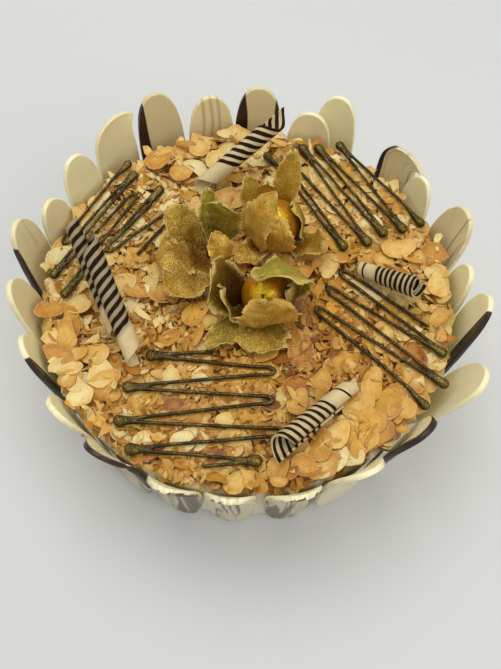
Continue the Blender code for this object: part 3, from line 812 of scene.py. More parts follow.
def flakeTree():
    # Geometry Nodes: one flake of the kind's collection on each point, turned, sized and joined
    tree = bpy.data.node_groups.new("layFlakes", "GeometryNodeTree")
    tree.is_modifier = True
    for name, kind in (("Points", "Geometry"), ("Flakes", "Collection"), ("Size", "Float"),
                       ("Size Spread", "Float"), ("Seed", "Int"), ("Finish", "Material")):
        tree.interface.new_socket(name, in_out="INPUT", socket_type="NodeSocket" + kind)
    tree.interface.new_socket("Flakes On Points", in_out="OUTPUT", socket_type="NodeSocketGeometry")
    web = Web(tree)
    given = {socket.name: Wire(web, socket) for socket in tree.nodes.new("NodeGroupInput").outputs}
    flakes = web.add("GeometryNodeCollectionInfo", {"Collection": given["Flakes"],
                                                    "Separate Children": True, "Reset Children": True})
    share, turn, kind = [
        web.add("GeometryNodeInputNamedAttribute", {"Name": name}, "Attribute", data_type=form)
        for name, form in (("share", "FLOAT"), ("turn", "FLOAT_VECTOR"), ("kind", "INT"))]
    low, high = 1.0 - given["Size Spread"], 1.0 + given["Size Spread"]
    spread = web.add("FunctionNodeRandomValue", {"Seed": given["Seed"], 2: low, 3: high}, 1,
                     data_type="FLOAT")
    rotation = web.add("FunctionNodeEulerToRotation", {"Euler": turn})
    placed = web.add("GeometryNodeInstanceOnPoints",
                     {"Points": given["Points"], "Instance": flakes, "Pick Instance": True,
                      "Instance Index": kind, "Rotation": rotation, "Scale": share * spread * given["Size"]})
    joined = web.add("GeometryNodeRealizeInstances", {"Geometry": placed})
    finished = web.add("GeometryNodeSetMaterial", {"Geometry": joined, "Material": given["Finish"]})
    tree.links.new(finished.socket, tree.nodes.new("NodeGroupOutput").inputs[0])
    return tree


def makeAlmonds():
    draw = np.random.default_rng(almonds["seed"] + 1)
    collections, models = {}, {}
    for kind, count in almonds["models"].items():
        collections[kind] = bpy.data.collections.new(kind + "Models")
        bpy.context.scene.collection.children.link(collections[kind])
        models[kind] = [makeFlake(f"{kind}Model{index:02d}", kind, draw, collections[kind])
                        for index in range(count)]
    laid = layAllFlakes(models)
    material = almondMaterial()
    tree = flakeTree()
    for kind, name in (("whole", "wholeFlakes"), ("broken", "brokenFlakes"), ("crumb", "almondCrumbs")):
        places, turns, shares, tones, skins, picks = zip(*laid[kind])
        points = meshPiece(name, places, [], smooth=False)
        addAttribute(points, "turn", turns, "FLOAT_VECTOR")
        addAttribute(points, "share", shares)
        addAttribute(points, "tone", tones)
        addAttribute(points, "skin", skins)
        addAttribute(points, "kind", picks, "INT")
        modifier = addModifier(points, "Flakes", "NODES", node_group=tree)
        given = {"Flakes": collections[kind], "Size": 1.0, "Size Spread": 0.02,
                 "Seed": almonds["seed"], "Finish": material}
        for item in tree.interface.items_tree:
            if item.name in given:
                modifier[item.identifier] = given[item.name]
        bakeModifiers(points)
        for model in list(collections[kind].objects):
            bpy.data.objects.remove(model, do_unlink=True)
        bpy.data.collections.remove(collections[kind])
        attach(points, "root")
        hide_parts("cake")
        print(name, len(laid[kind]), "pieces,", len(points.data.polygons), "faces")


makeAlmonds()
print("almond flakes are laid")


# Chocolate ovals round the side

# the greyed colour is painted shade on the outer faces below the tips
ovals = {"thickness": 2.2, "lift": 0.9, "cup": 1.6, "fullness": 2.4, "egg": 0.12, "bendPower": 3,
         "footRadius": 81.5, "gap": 0.3, "columns": 18, "rows": 32, "edgeRound": 0.55,
         "ivory": (250, 242, 202), "shade": (242, 228, 178), "streak": (84, 66, 42),
         "dark": (42, 25, 16), "outsideShade": (164, 152, 120), "dullTone": (206, 194, 148),
         "dull": {"oval_02": 0.5, "oval_04": 0.5, "oval_07": 0.7, "oval_08": 0.3, "oval_09": 0.85,
                  "oval_10": 0.35, "oval_12": 0.2, "oval_13": 0.4, "oval_14": 0.3}}
# azimuth, width, height, lean, step outwards, roll, tip bend; then the looks: dark edge at the left and
# at the right seen from the middle of the cake, streaks inside, streaks outside together with the painted
# shade there, hook of the tip, how far the tip is dipped in dark chocolate, fine upright streaks
ovalRows = {
    "oval_01": (2.0, 18.0, 66.8, 5.8, 0.6, -2.0, 0.0, 0.0, 0.0, 0.25, 0.2, 0.0, 0.0, 0.0),
    "oval_02": (18.1, 22.0, 73.9, 7.3, 0.8, 2.9, 0.5, 0.0, 0.0, 0.95, 0.4, 0.0, 0.0, 0.0),
    "oval_03": (32.6, 17.5, 65.8, 5.6, 0.8, -4.0, 0.0, 0.0, 0.0, 0.15, 0.2, 0.0, 0.0, 0.0),
    "oval_04": (43.6, 20.0, 73.5, 5.8, 3.7, -2.7, -2.0, 0.12, 0.0, 1.0, 0.3, 70.0, 0.0, 0.0),
    "oval_05": (66.0, 20.5, 73.0, 5.8, 5.8, -0.5, 0.5, 0.0, 0.0, 0.1, 0.2, 0.0, 0.0, 0.0),
    "oval_06": (72.6, 21.5, 64.6, 5.6, 1.0, -0.2, 0.0, 0.0, 0.0, 0.05, 0.2, 0.0, 0.0, 0.0),
    "oval_07": (88.6, 21.6, 74.2, 5.8, 0.6, 0.2, 0.5, 0.24, 0.2, 0.25, 0.4, 0.0, 0.0, 0.0),
    "oval_08": (103.2, 21.3, 70.6, 5.6, 0.8, 1.5, 0.0, 0.0, 0.0, 0.3, 0.4, 0.0, 0.0, 1.0),
    "oval_09": (118.1, 21.7, 75.1, 9.2, 0.8, 1.2, 0.6, 0.27, 0.0, 0.2, 0.4, 0.0, 0.0, 0.0),
    "oval_10": (133.1, 21.4, 75.6, 7.7, 2.8, 5.0, 1.0, 0.0, 0.0, 0.15, 0.2, 45.0, 0.0, 0.0),
    "oval_11": (146.6, 20.4, 71.8, 6.6, 0.6, -0.2, 0.0, 0.0, 0.0, 0.15, 0.2, 0.0, 0.0, 0.0),
    "oval_12": (160.2, 19.4, 67.0, 5.6, 0.6, -1.3, 0.0, 0.0, 0.0, 0.8, 0.3, 0.0, 0.0, 0.0),
    "oval_13": (172.8, 21.8, 74.2, 6.4, 3.4, 3.1, 0.4, 0.14, 0.0, 0.85, 0.4, 0.0, 0.0, 0.0),
    "oval_14": (189.4, 22.0, 73.6, 6.7, 0.8, 0.3, 0.5, 0.0, 0.0, 0.6, 0.3, 0.0, 0.0, 0.0),
    "oval_15": (204.8, 22.1, 73.3, 5.9, 0.6, -1.7, 0.4, 0.3, 0.0, 0.3, 0.5, 0.0, 0.0, 0.0),
    "oval_16": (222.6, 22.0, 71.5, 5.8, 0.8, 0.0, 1.6, 0.0, 0.0, 0.2, 0.6, 0.0, 0.0, 0.3),
    "oval_17": (237.8, 21.8, 72.5, 5.7, 0.6, 2.0, 3.0, 0.06, 0.0, 0.3, 0.9, 0.0, 0.012, 0.6),
    "oval_18": (253.6, 20.8, 72.0, 5.7, 0.8, -2.0, 3.4, 0.0, 0.0, 0.1, 1.0, 0.0, 0.0, 0.5),
    "oval_19": (267.8, 19.6, 72.5, 5.7, 0.6, 0.0, 3.4, 0.0, 0.0, 0.1, 0.8, 0.0, 0.0, 1.0),
    "oval_20": (283.4, 21.6, 72.5, 5.7, 0.8, 1.0, 3.4, 0.0, 0.0, 0.1, 0.95, 0.0, 0.0, 0.5),
    "oval_21": (298.4, 22.0, 73.0, 5.8, 0.6, -2.0, 3.0, 0.0, 0.0, 0.1, 0.5, 0.0, 0.0, 0.0),
    "oval_22": (315.2, 22.0, 73.5, 6.8, 0.8, 1.0, 1.6, 0.0, 0.34, 0.3, 0.6, 0.0, 0.075, 0.0),
    "oval_23": (333.9, 22.4, 75.5, 11.5, 0.6, 5.3, 1.5, 0.0, 0.0, 0.3, 0.3, 0.0, 0.0, 0.0),
    "oval_24": (350.4, 21.6, 74.4, 6.0, 3.5, -1.8, 0.8, 0.0, 0.36, 0.25, 0.3, 0.0, 0.0, 0.0),
}


def ovalMaterial():
    # One chocolate for all ovals. Each oval's attributes say how its two chocolates ran together.
    paint = Paint("marbledChocolate", {"Roughness": 0.36, "Specular IOR Level": 0.45, "Subsurface Weight": 0.4,
                                       "Subsurface Scale": 1.0, "Subsurface Radius": (0.004, 0.003, 0.0012)},
                  ovals["ivory"])
    darkLeft, darkRight, dip, rimward, outside = paint.attributes(
        "darkLeft", "darkRight", "dip", "rimward", "outside")
    inStreaks, outStreaksAndShade, fine, dull, seed = paint.attributes(
        "inStreaks", "outStreaksAndShade", "fine", "dull", "seed")
    # across runs from 0 at the left to 1 at the right, seen from the middle of the cake
    across, length = paint.uv().part(0), paint.uv().part(1)
    shift = paint.add("ShaderNodeCombineXYZ", {"X": across, "Y": length, "Z": seed})
    stretched = paint.vectors("MULTIPLY", shift, (3.2, 0.75, 7.0))
    swirl = paint.add("ShaderNodeTexNoise", {"Vector": stretched, "Scale": 1.4, "Detail": 2.0,
                                             "Distortion": 1.3}, "Fac")
    wander = paint.add("ShaderNodeTexNoise", {"Vector": shift, "Scale": 1.5, "Detail": 1.0}, "Fac")
    wander = (wander - 0.5) * 0.25
    left = (darkLeft + wander - across).fade(-0.012, 0.012) * (darkLeft > 0.01)
    right = (darkRight + wander - (1.0 - across)).fade(-0.012, 0.012) * (darkRight > 0.01)
    tip = (rimward + dip - 1.0).fade(-0.01, 0.01) * (dip > 0.001)
    amount = inStreaks + (outStreaksAndShade - inStreaks) * outside
    low = amount * (outside * -0.1 - 0.3) + 0.82
    streak = (swirl - low).fade(-0.02, 0.16) * (outside * 0.46 + 0.5)
    upright = largest(*(abs(across + wander - centre).fade(0.055, 0.0) for centre in (0.34, 0.5, 0.64)))
    upright = upright * (length + wander).fade(0.5, 0.7) * (fine * 0.32)
    paint.coat(paint.noise(7.0, 3.0), ovals["shade"])
    paint.coat(dull, ovals["dullTone"])
    # painted shade: the outer faces are greyed below the tip, as strongly as their outside streaks
    paint.coat(outside * amount * length.fade(0.99, 0.95) * 0.7, ovals["outsideShade"])
    paint.coat(largest(streak, upright), ovals["streak"])
    paint.coat(largest(left, right, tip), ovals["dark"])
    return paint.finish((paint.noise(4.0, 3.0), 0.25, 0.35))


def ovalShape(x, y, row):
    # Place of a point of the oval's middle face; x and y run from -1 to 1 over a square.
    azimuth, width, height, lean, stepOut, roll, bend = row[:7]
    hook = row[11]
    outward, along = azimuthFrame(azimuth)
    slope = math.radians(lean)
    up = rise * math.cos(slope) + outward * math.sin(slope)
    normal = outward * math.cos(slope) - rise * math.sin(slope)
    foot = outward * (ovals["footRadius"] + ovals["gap"] + ovals["thickness"] / 2.0 + stepOut)
    foot = foot + rise * ovals["lift"]
    across = x * np.sqrt(1.0 - y ** 2 / 2.0)
    length = y * np.sqrt(1.0 - x ** 2 / 2.0)
    reach = np.hypot(across, length)
    safe = np.where(reach > 0, reach, 1.0)
    power = ovals["fullness"]
    full = (np.abs(across / safe) ** power + np.abs(length / safe) ** power + (reach == 0)) ** (-1.0 / power)
    across = across * full
    length = length * full
    across = across * (1.0 + ovals["egg"] * length)
    out = -ovals["cup"] * across ** 2 + bend * np.maximum(length, 0.0) ** ovals["bendPower"]
    sideways, lengthways = across * width / 2.0, length * height / 2.0
    if hook:
        # the tip runs over to the right, seen from the middle of the cake, and droops
        start = 0.5
        part = np.maximum(length - start, 0.0) / (1.0 - start)
        angle = math.radians(hook) * part ** 2.0
        arm = (length - start) * height / 2.0
        bent = length > start
        sideways = np.where(bent, sideways * np.cos(angle) - arm * np.sin(angle) * 0.85, sideways)
        lengthways = np.where(bent, start * height / 2.0 + arm * np.cos(angle) + across * width / 2.0
                              * np.sin(angle) * 0.6, lengthways)
    flat = np.outer(sideways, along) + np.outer(lengthways, up)
    place = foot + up * (height / 2.0) + turned(flat, normal, roll) + np.outer(out, normal)
    return place, across, length, normal


def makeOval(node, row, material, seed):
    def spread(count, size):
        # even steps over the face, then close ones over the rounded edge
        edge = 2.0 * ovals["edgeRound"] / size
        rim = 1.0 - edge * np.array([1.0, 0.75, 0.5, 0.3, 0.14, 0.0])
        inner = np.linspace(-(1.0 - 1.6 * edge), 1.0 - 1.6 * edge, count)
        return np.concatenate([-rim[::-1], inner, rim])

    xs, ys = spread(ovals["columns"], row[1]), spread(ovals["rows"], row[2])
    y, x = [values.ravel() for values in np.meshgrid(ys, xs, indexing="ij")]
    place, across, length, normal = ovalShape(x, y, row)
    toEdge = np.minimum((1.0 - np.abs(x)) * row[1], (1.0 - np.abs(y)) * row[2]) / 2.0
    inward = 1.0 - (toEdge / ovals["edgeRound"]).clip(0.0, 1.0)
    profile = np.sqrt(1.0 - inward ** 2)
    ripple = 0.16 * softNoise(place, 9.0, seed)
    half = ovals["thickness"] / 2.0 * profile
    outer = place + np.outer(half + ripple * profile, normal)
    inner = place + np.outer(-half + ripple * profile * 0.6, normal)
    columns = len(xs)
    count = len(place)
    front = gridFaces(len(ys), columns)
    faces = front + [tuple(count + index for index in reversed(face)) for face in front]
    vertices = np.concatenate([outer, inner])
    obj = meshPiece(node.replace("_", ""), vertices, faces, material)
    leftToRight = (1.0 - across) / 2.0
    uvs = np.column_stack([leftToRight, (length + 1.0) / 2.0])
    addUvs(obj, np.concatenate([uvs, uvs]))
    rimward = np.where(y > 0.0, np.maximum(np.abs(x), np.abs(y)), 0.0)
    addAttribute(obj, "rimward", np.concatenate([rimward, rimward]))
    addAttribute(obj, "outside", np.concatenate([np.ones(count), np.zeros(count)]))
    addConstants(obj, {"darkLeft": row[7], "darkRight": row[8], "inStreaks": row[9], "outStreaksAndShade": row[10],
                       "dip": row[12], "fine": row[13], "seed": seed, "dull": ovals["dull"].get(node, 0.0)})
    recalcNormals(obj)
    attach(obj, "root")
    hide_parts(node)


def makeOvals():
    material = ovalMaterial()
    for index, (node, row) in enumerate(ovalRows.items()):
        makeOval(node, row, material, index * 1.37 + 0.5)


makeOvals()
print("ovals stand round the side")


# Piped zigzags of dark chocolate, dusted with gold

zigzags = {"height": 54.2, "loopHalfWidth": 1.8, "loopLength": 8.0, "wave": 0.3, "voxel": 0.25,
           "step": 0.7, "sides": 12, "bulge": 2.0, "neck": 6.5, "neckSpread": 0.5, "neckRadius": 1.15,
           "merge": 12.5, "mergeSpread": 1.2, "thin": {"zigzag_front": 0.78, "zigzag_right": 0.72,
                                                      "zigzag_back": 0.7, "zigzag_left": 0.7},
           "thick": {"zigzag_front": 2.3, "zigzag_right": 1.95, "zigzag_back": 2.05,
                     "zigzag_left": 1.85}}
thin, thick = False, True       # the two kinds of turn
zigzagTurns = {
    "zigzag_front": [(-13, -29.5, thin), (-39, -32, thick), (12, -37, thin), (-47, -46, thick),
                     (11.5, -49, thin), (-49, -60, thick), (16, -62, thin), (-43.5, -71, thick),
                     (8, -73.5, thick), (-13.5, -76.5, thin)],
    "zigzag_right": [(73.5, -14.5, thin), (39, 10, thin), (80.5, -27.5, thick), (33.5, 1.5, thin),
                     (80, -41, thick), (28.5, -8, thin), (71.5, -50.5, thick)],
    "zigzag_back": [(75.5, 34.5, thick), (39, 79, thick), (67.5, 31, thick), (29, 77, thick),
                    (59, 28.5, thick), (22, 76.5, thick), (52, 23.5, thick), (16, 67, thin),
                    (41.5, 21, thick), (5.5, 71, thick)],
    "zigzag_left": [(-55, 64, thick), (-79, 19, thin), (-52, 58, thick), (-82, 2, thick),
                    (-51, 46, thin), (-76, -7, thick), (-39.5, 50.5, thick), (-60, 16, thin),
                    (-30.5, 41, thin), (-47, 15, thin)],
}


def gildedMaterial():
    paint = Paint("gildedChocolate", {"Roughness": 0.38, "Specular IOR Level": 0.36,
                                      "Specular Tint": (1.0, 0.86, 0.55, 1.0)}, (26, 16, 5))
    facing = paint.add("ShaderNodeNewGeometry", output="Normal").part(2).fade(0.0, 0.85)
    club = paint.attributes("club")[0]
    patches = paint.noise(7.0, 2.0).fade(0.4, 0.7)
    dust = paint.flecks(0.17, facing * (patches * 0.16 + club * 0.22 + 0.05))
    paint.coat((club * 0.16 + patches * 0.2) * facing, (98, 74, 20))
    paint.coat(dust, (158, 136, 66))
    return paint.finish((paint.noise(1.0, 3.0), 0.2, 0.4), dust * 0.7)


def strokeRoutes(turns, slim, fat):
    # stretches between thick turns, with a hairpin at every open loop: x, y and radius
    routes, route = [], []
    last = len(turns) - 1
    for index, (x, y, kind) in enumerate(turns):
        tip = Vector((x, y))
        near = [Vector(turns[other][:2]) for other in (index - 1, index + 1) if 0 <= other <= last]
        inward = sum(((point - tip).normalized() for point in near), Vector((0.0, 0.0))).normalized()
        side = Vector((-inward.y, inward.x))
        if (near[0] - tip).dot(side) < 0.0:
            side.negate()
        if kind == thick:
            merge = tip + inward * zigzags["merge"]
            neck = tip + inward * zigzags["neck"]
            bulge = tip + inward * fat * 0.9
            spreads = (side * zigzags["mergeSpread"], side * zigzags["neckSpread"], side * 0.2)
            if index > 0:
                route += [(*(merge + spreads[0]), slim), (*(neck + spreads[1]), zigzags["neckRadius"]),
                          (*(bulge + spreads[2]), fat)]
                routes.append(route)
            if index < last:
                route = [(*(bulge - spreads[2]), fat), (*(neck - spreads[1]), zigzags["neckRadius"]),
                         (*(merge - spreads[0]), slim)]
        elif 0 < index < last:
            half, length = zigzags["loopHalfWidth"], zigzags["loopLength"]
            for ahead, across in ((length, 1.0), (half, 0.8), (0.0, 0.0), (half, -0.8), (length, -1.0)):
                radius = slim * (1.3 if ahead == 0 else 1.0)
                route.append((*(tip + inward * ahead + side * across * half), radius))
        else:
            route.append((*tip, slim))
            if index == last:
                routes.append(route)
    return routes


def smoothPath(points, step):
    # Catmull-Rom through the points, at even steps
    points = np.asarray(points, float)
    padded = np.vstack([2 * points[0] - points[1], points, 2 * points[-1] - points[-2]])
    path = []
    for index in range(1, len(padded) - 2):
        a, b, c, d = padded[index - 1:index + 3]
        span = np.linalg.norm((c - b)[:2])
        count = max(2, int(span / step))
        # long straight stretches keep gentle ends
        pull = 0.5 * min(1.0, span / max(np.linalg.norm((b - a)[:2]), 1e-6))
        push = 0.5 * min(1.0, span / max(np.linalg.norm((d - c)[:2]), 1e-6))
        startSlope = (c - a) * pull
        endSlope = (d - b) * push
        for part in np.arange(count) / count:
            h00 = 2 * part ** 3 - 3 * part ** 2 + 1
            h10 = part ** 3 - 2 * part ** 2 + part
            h01 = -2 * part ** 3 + 3 * part ** 2
            h11 = part ** 3 - part ** 2
            path.append(h00 * b + h10 * startSlope + h01 * c + h11 * endSlope)
    path.append(points[-1])
    return np.array(path)


def tubeAlong(path, radii, sides):
    # closed tube with round ends
    path = np.asarray(path, float)
    tangent = np.gradient(path, axis=0)
    tangent /= np.linalg.norm(tangent, axis=1)[:, None]
    centres = list(zip(path, tangent, radii))
    for part in (0.4, 0.75, 0.95):
        angle = part * math.pi / 2.0
        for end, sign in ((0, -1.0), (-1, 1.0)):
            cap = (path[end] + sign * tangent[end] * radii[end] * math.sin(angle), tangent[end],
                   radii[end] * math.cos(angle))
            centres.insert(0 if end == 0 else len(centres), cap)
    vertices = []
    for spot, way, radius in centres:
        side = np.cross(way, rise)
        side /= np.linalg.norm(side)
        lift = np.cross(side, way)
        for step in range(sides):
            angle = 2.0 * math.pi * step / sides
            vertices.append(spot + radius * (side * math.cos(angle) + lift * math.sin(angle)))
    faces = gridFaces(len(centres), sides, wrap=True)
    faces.append(tuple(reversed(range(sides))))
    faces.append(tuple(range(len(vertices) - sides, len(vertices))))
    return vertices, faces


def makeZigzag(node, turns, material):
    vertices, faces, spots = [], [], []
    slim, fat = zigzags["thin"][node], zigzags["thick"][node]
    for index, route in enumerate(strokeRoutes(turns, slim, fat)):
        path = smoothPath(route, zigzags["step"])
        level = zigzags["height"] + 0.12 * (index % 2)
        waves = softNoise(np.column_stack([path[:, 0], path[:, 1], np.zeros(len(path))]), 11.0, 3.0)
        pulse = softNoise(np.column_stack([path[:, 0], path[:, 1], np.full(len(path), 9.0)]), 4.0, 5.0)
        spine = np.column_stack([path[:, 0], path[:, 1], level + zigzags["wave"] * waves])
        more, moreFaces = tubeAlong(spine, path[:, 2] * (1.0 + 0.08 * pulse), zigzags["sides"])
        faces += shifted(moreFaces, len(vertices))
        vertices += more
        spots += [(Vector(spot) * mm, radius) for spot, radius in zip(spine, path[:, 2])]
    obj = meshPiece(pieceName(node), vertices, faces, material)
    addModifier(obj, "Melted", "REMESH", mode="VOXEL", voxel_size=zigzags["voxel"] * mm, use_smooth_shade=True)
    addModifier(obj, "Softened", "SMOOTH", factor=0.5, iterations=3)
    bakeModifiers(obj)
    tree = KDTree(len(spots))
    for index, (spot, radius) in enumerate(spots):
        tree.insert(spot, index)
    tree.balance()
    radii = [spots[tree.find(vertex.co)[1]][1] for vertex in obj.data.vertices]
    addAttribute(obj, "club", np.clip((np.array(radii) - slim) / (fat - slim), 0.0, 1.0))
    obj.data.materials.clear()
    obj.data.materials.append(material)
    obj.data.shade_smooth()
    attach(obj, "root")
    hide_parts(node)
    print(obj.name, len(obj.data.polygons), "faces")


gilded = gildedMaterial()
for nodeName, turnsOfNode in zigzagTurns.items():
    makeZigzag(nodeName, turnsOfNode, gilded)
print("zigzags are piped")


# Striped curls of rolled chocolate

curls = {"thickness": 0.9, "pitch": 1.6, "doubleSpacing": 0.98, "lowReach": 7.0, "steps": 150, "rows": 70,
         "milky": (224, 202, 154), "greyish": (196, 176, 130), "brown": (32, 14, 2), "dull": (132, 122, 100)}
# low and high are the ends of a roll's axis; its sheet is height long, its ends and stripes rise by
# tilt for each millimetre round the roll, lead is the way round from the sheet's outer edge to the
# line from low to high. Stripes: their pitch, dark share, where they begin, a lone one before, and
# how dull the white between them is.
curlRows = {
    "curl_left": {"low": (-45.3, -33.4, 55.8), "high": (-67.6, 11.1, 82.3), "radii": (3.7, 4.0),
                  "turns": 0.88, "height": 44.5, "tilt": 0.6, "lead": 7.6, "flare": 0.04, "spin": 106.0,
                  "stripes": (3.75, 0.55, 10.0, -9.0, 0.75)},
    "curl_back": {"low": (-20.5, 50.3, 58.5), "high": (6.1, 68.1, 74.0), "radii": (4.4,),
                  "turns": 1.35, "height": 35.6, "tilt": 0.7, "lead": 16.5, "flare": 0.02, "spin": 248.0,
                  "stripes": (3.8, 0.56, 10.5, -9.0, 0.1)},
    "curl_right": {"low": (47.2, 10.1, 57.2), "high": (67.5, -4.0, 67.5), "radii": (4.15,),
                   "turns": 1.5, "height": 26.7, "tilt": 0.1, "lead": 14.5, "flare": 0.2, "spin": 235.5,
                   "stripes": (2.4, 0.55, 8.0, 2.6, 0.45)},
    "curl_front": {"low": (42.4, -43.2, 57.5), "high": (16.9, -67.3, 61.5), "radii": (4.2,),
                   "turns": 1.35, "height": 35.3, "tilt": 0.45, "lead": 18.3, "flare": 0.09, "spin": 238.0,
                   "stripes": (2.95, 0.48, 12.0, 5.0, 0.25)},
}


def stripedMaterial():
    # UV runs round the roll and along it in millimetres, from the sheet's low end
    paint = Paint("stripedChocolate", {"Roughness": 0.5, "Specular IOR Level": 0.15,
                                       "Specular Tint": (1.0, 0.82, 0.55, 1.0), "Subsurface Weight": 0.05,
                                       "Subsurface Scale": 1.0, "Subsurface Radius": (0.003, 0.002, 0.001)},
                  curls["milky"])
    pitch, begin, darkShare, lone, dull = paint.attributes("pitch", "begin", "darkShare", "lone", "dull")
    spot = paint.uv().part(1) + (paint.noise(7.0, 2.0) - 0.5)
    cycle = (spot - begin) / pitch
    centre = abs(cycle.reckon("FRACT", cycle) - 0.5)
    half = (paint.noise(4.0, 1.0) - 0.5) * 0.2 + darkShare * 0.5
    stripe = (half - centre).fade(-0.045, 0.045) * (spot > begin)
    paint.coat(paint.noise(3.5, 3.0), curls["greyish"])
    paint.coat(dull * (spot - begin).fade(-2.0, 1.0), curls["dull"])
    paint.coat(largest(stripe, abs(spot - lone).fade(0.6, 0.35)), curls["brown"])
    return paint.finish((paint.noise(1.5, 2.0), 0.12, 0.4))


def rollSection(radii, turns, steps):
    # The rolled sheet seen from its end: one spiral, or two that share the sheet. Each point is
    # across, over, and its way round from the outer edge or from where the two meet.
    section = []
    single = len(radii) == 1
    for sign, radius in zip((-1.0,) if single else (1.0, -1.0), radii):
        centre = 0.0 if single else -sign * radius * curls["doubleSpacing"]
        turnedBy = np.linspace(0.0, turns * 2.0 * math.pi, steps + 1)
        angle = math.radians(90.0) + sign * turnedBy
        reach = radius - curls["pitch"] * turnedBy / (2.0 * math.pi)
        half = np.column_stack([centre + reach * np.cos(angle), reach * np.sin(angle),
                                -sign * turnedBy * (radius + reach) / 2.0])
        section = half if len(section) == 0 else np.vstack([section[::-1], half])
    return section


def makeCurl(node, row, material, seed):
    steps = curls["steps"] if len(row["radii"]) == 1 else curls["steps"] // 2
    section = rollSection(row["radii"], row["turns"], steps)
    low, high = Vector(row["low"]), Vector(row["high"])
    axis = high - low
    facing = axis.to_track_quat("Z", "Y").to_matrix() @ Matrix.Rotation(math.radians(row["spin"]), 3, "Z")
    facing = np.array(facing)
    rows = curls["rows"]
    vertices, uvs = [], []
    for line in range(rows):
        share = line / (rows - 1)
        for across, over, travel in section:
            rise = row["tilt"] * (row["lead"] - travel)
            foot = max(rise, -row["tilt"] * curls["lowReach"])
            along = foot + (row["height"] + rise - foot) * share
            wider = 1.0 + row["flare"] * (2.0 * along / axis.length - 1.0)
            wider *= 1.0 + 0.02 * noise.noise(Vector((across, over, along)) / 5.0 + Vector((seed, 0, 0)))
            vertices.append(np.array(low) + facing @ np.array([across * wider, over * wider, along]))
            uvs.append((travel, along - rise))
    obj = meshPiece(pieceName(node), vertices, gridFaces(rows, len(section)), material)
    addUvs(obj, uvs)
    addConstants(obj, dict(zip(("pitch", "darkShare", "begin", "lone", "dull"), row["stripes"])))
    addModifier(obj, "Sheet", "SOLIDIFY", thickness=curls["thickness"] * mm, offset=0.0)
    addModifier(obj, "Edge", "BEVEL", width=0.2 * mm, segments=2, limit_method="ANGLE",
                angle_limit=math.radians(50.0))
    bakeModifiers(obj)
    obj.data.shade_smooth()
    obj.data.set_sharp_from_angle(angle=math.radians(60.0))
    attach(obj, "root")
    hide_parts(node)


striped = stripedMaterial()
for index, (nodeName, rowOfNode) in enumerate(curlRows.items()):
    makeCurl(nodeName, rowOfNode, striped, index * 2.3)
print("curls are rolled")


# Cape gooseberries in their open papery husks

husks = {"berryRadius": 10.0, "berryLift": 1.0, "lay": 2.6, "startAngle": 18.0, "start": 0.16,
         "tip": 0.10, "taper": 0.7, "thickness": 0.28, "columns": 41, "rows": 66, "edgeWave": 1.0,
         "baseRadius": 4.5, "ragged": ((0.5, 8.0, 0.0, 0.0), (0.4, 21.0, 2.0, 2.0), (0.35, 40.0, 4.0, 5.0))}
# attributes that the husks' material reads, with their values on the cup at the base; deep is painted shade,
# full on the cup
huskLooks = {"part": 0.05, "vein": 0.0, "ridge": 0.3, "margin": 0.0, "green": 0.6, "dusty": 0.0, "deep": 1.0}
# lobes: azimuth, length, width, angle to which it follows the berry, angle of its tip, fold, twist,
# how far it keeps off the berry, then greenness, gold dust and how much painted shade darkens its hollow, 0 to
# 1
huskRows = {
    "husk_front": {"centre": (7.8, -8.9), "berry": "berry_front", "crumple": 1.1, "lobes": (
        (221.0, 29.0, 12.0, 22.0, -2.0, 2.0, 0.0, 1.0, 0.7, 0.4, 0.5),
        (260.0, 20.0, 25.0, 24.0, -4.0, 2.0, 0.0, 1.0, 0.6, 0.5, 0.4),
        (276.0, 29.0, 25.0, 90.0, 118.0, -4.0, 0.0, 3.0, 0.2, 1.0, 0.1),
        (344.0, 26.0, 17.0, 95.0, 110.0, -2.0, 0.0, 2.0, 0.5, 0.2, 0.9),
        (36.0, 48.0, 20.0, 122.0, 180.0, -3.0, 34.0, 4.0, 1.0, 0.12, 0.1),
        (198.0, 31.0, 13.0, 22.0, 100.0, 1.5, 0.0, 1.0, 0.7, 0.35, 0.6),
        (170.0, 33.0, 24.0, 32.0, 80.0, 2.0, 0.0, 1.0, 0.5, 0.3, 1.0))},
    "husk_back": {"centre": (11.0, 25.9), "berry": "berry_back", "crumple": 1.1, "lobes": (
        (75.0, 38.0, 11.5, 62.0, 66.0, 2.5, 8.0, 1.0, 0.5, 0.6, 0.2),
        (132.0, 29.0, 11.5, 60.0, 60.0, 2.5, 0.0, 1.0, 0.4, 0.1, 0.3),
        (107.0, 24.0, 10.0, 66.0, 72.0, 2.0, 0.0, 1.0, 0.1, 0.1, 0.4),
        (8.0, 27.0, 17.0, 104.0, 130.0, -3.0, 6.0, 1.5, 0.3, 0.1, 0.5),
        (333.0, 25.0, 14.0, 24.0, 48.0, 1.5, 8.0, 1.0, 0.35, 0.4, 0.4),
        (214.0, 40.0, 18.0, 98.0, 146.0, -3.0, 0.0, 2.5, 0.2, 1.0, 0.1),
        (226.0, 21.0, 12.0, 24.0, 8.0, 1.5, 0.0, 1.0, 0.3, 0.9, 0.4),
        (272.0, 30.0, 15.0, 92.0, 116.0, -3.0, 0.0, 3.0, 0.0, 0.9, 0.1))},
    "husk_left": {"centre": (-14.5, 16.0), "berry": None, "crumple": 2.4, "lobes": (
        (196.0, 26.0, 22.0, 52.0, -40.0, 2.5, 0.0, 1.0, 0.35, 0.9, 0.5),
        (150.0, 26.0, 17.0, 56.0, 20.0, 2.0, -10.0, 1.0, 0.5, 0.7, 0.6),
        (80.0, 23.0, 20.0, 68.0, 70.0, 2.0, -8.0, 1.0, 0.9, 0.05, 0.6),
        (236.0, 29.0, 22.0, 36.0, -8.0, 2.0, 10.0, 1.0, 0.3, 0.6, 0.5),
        (100.0, 27.0, 9.0, 58.0, 60.0, 2.0, 0.0, 1.0, 0.8, 0.1, 0.3),
        (304.0, 24.0, 12.0, 88.0, 165.0, -2.0, 0.0, -2.0, 0.3, 0.9, 0.1))},
}


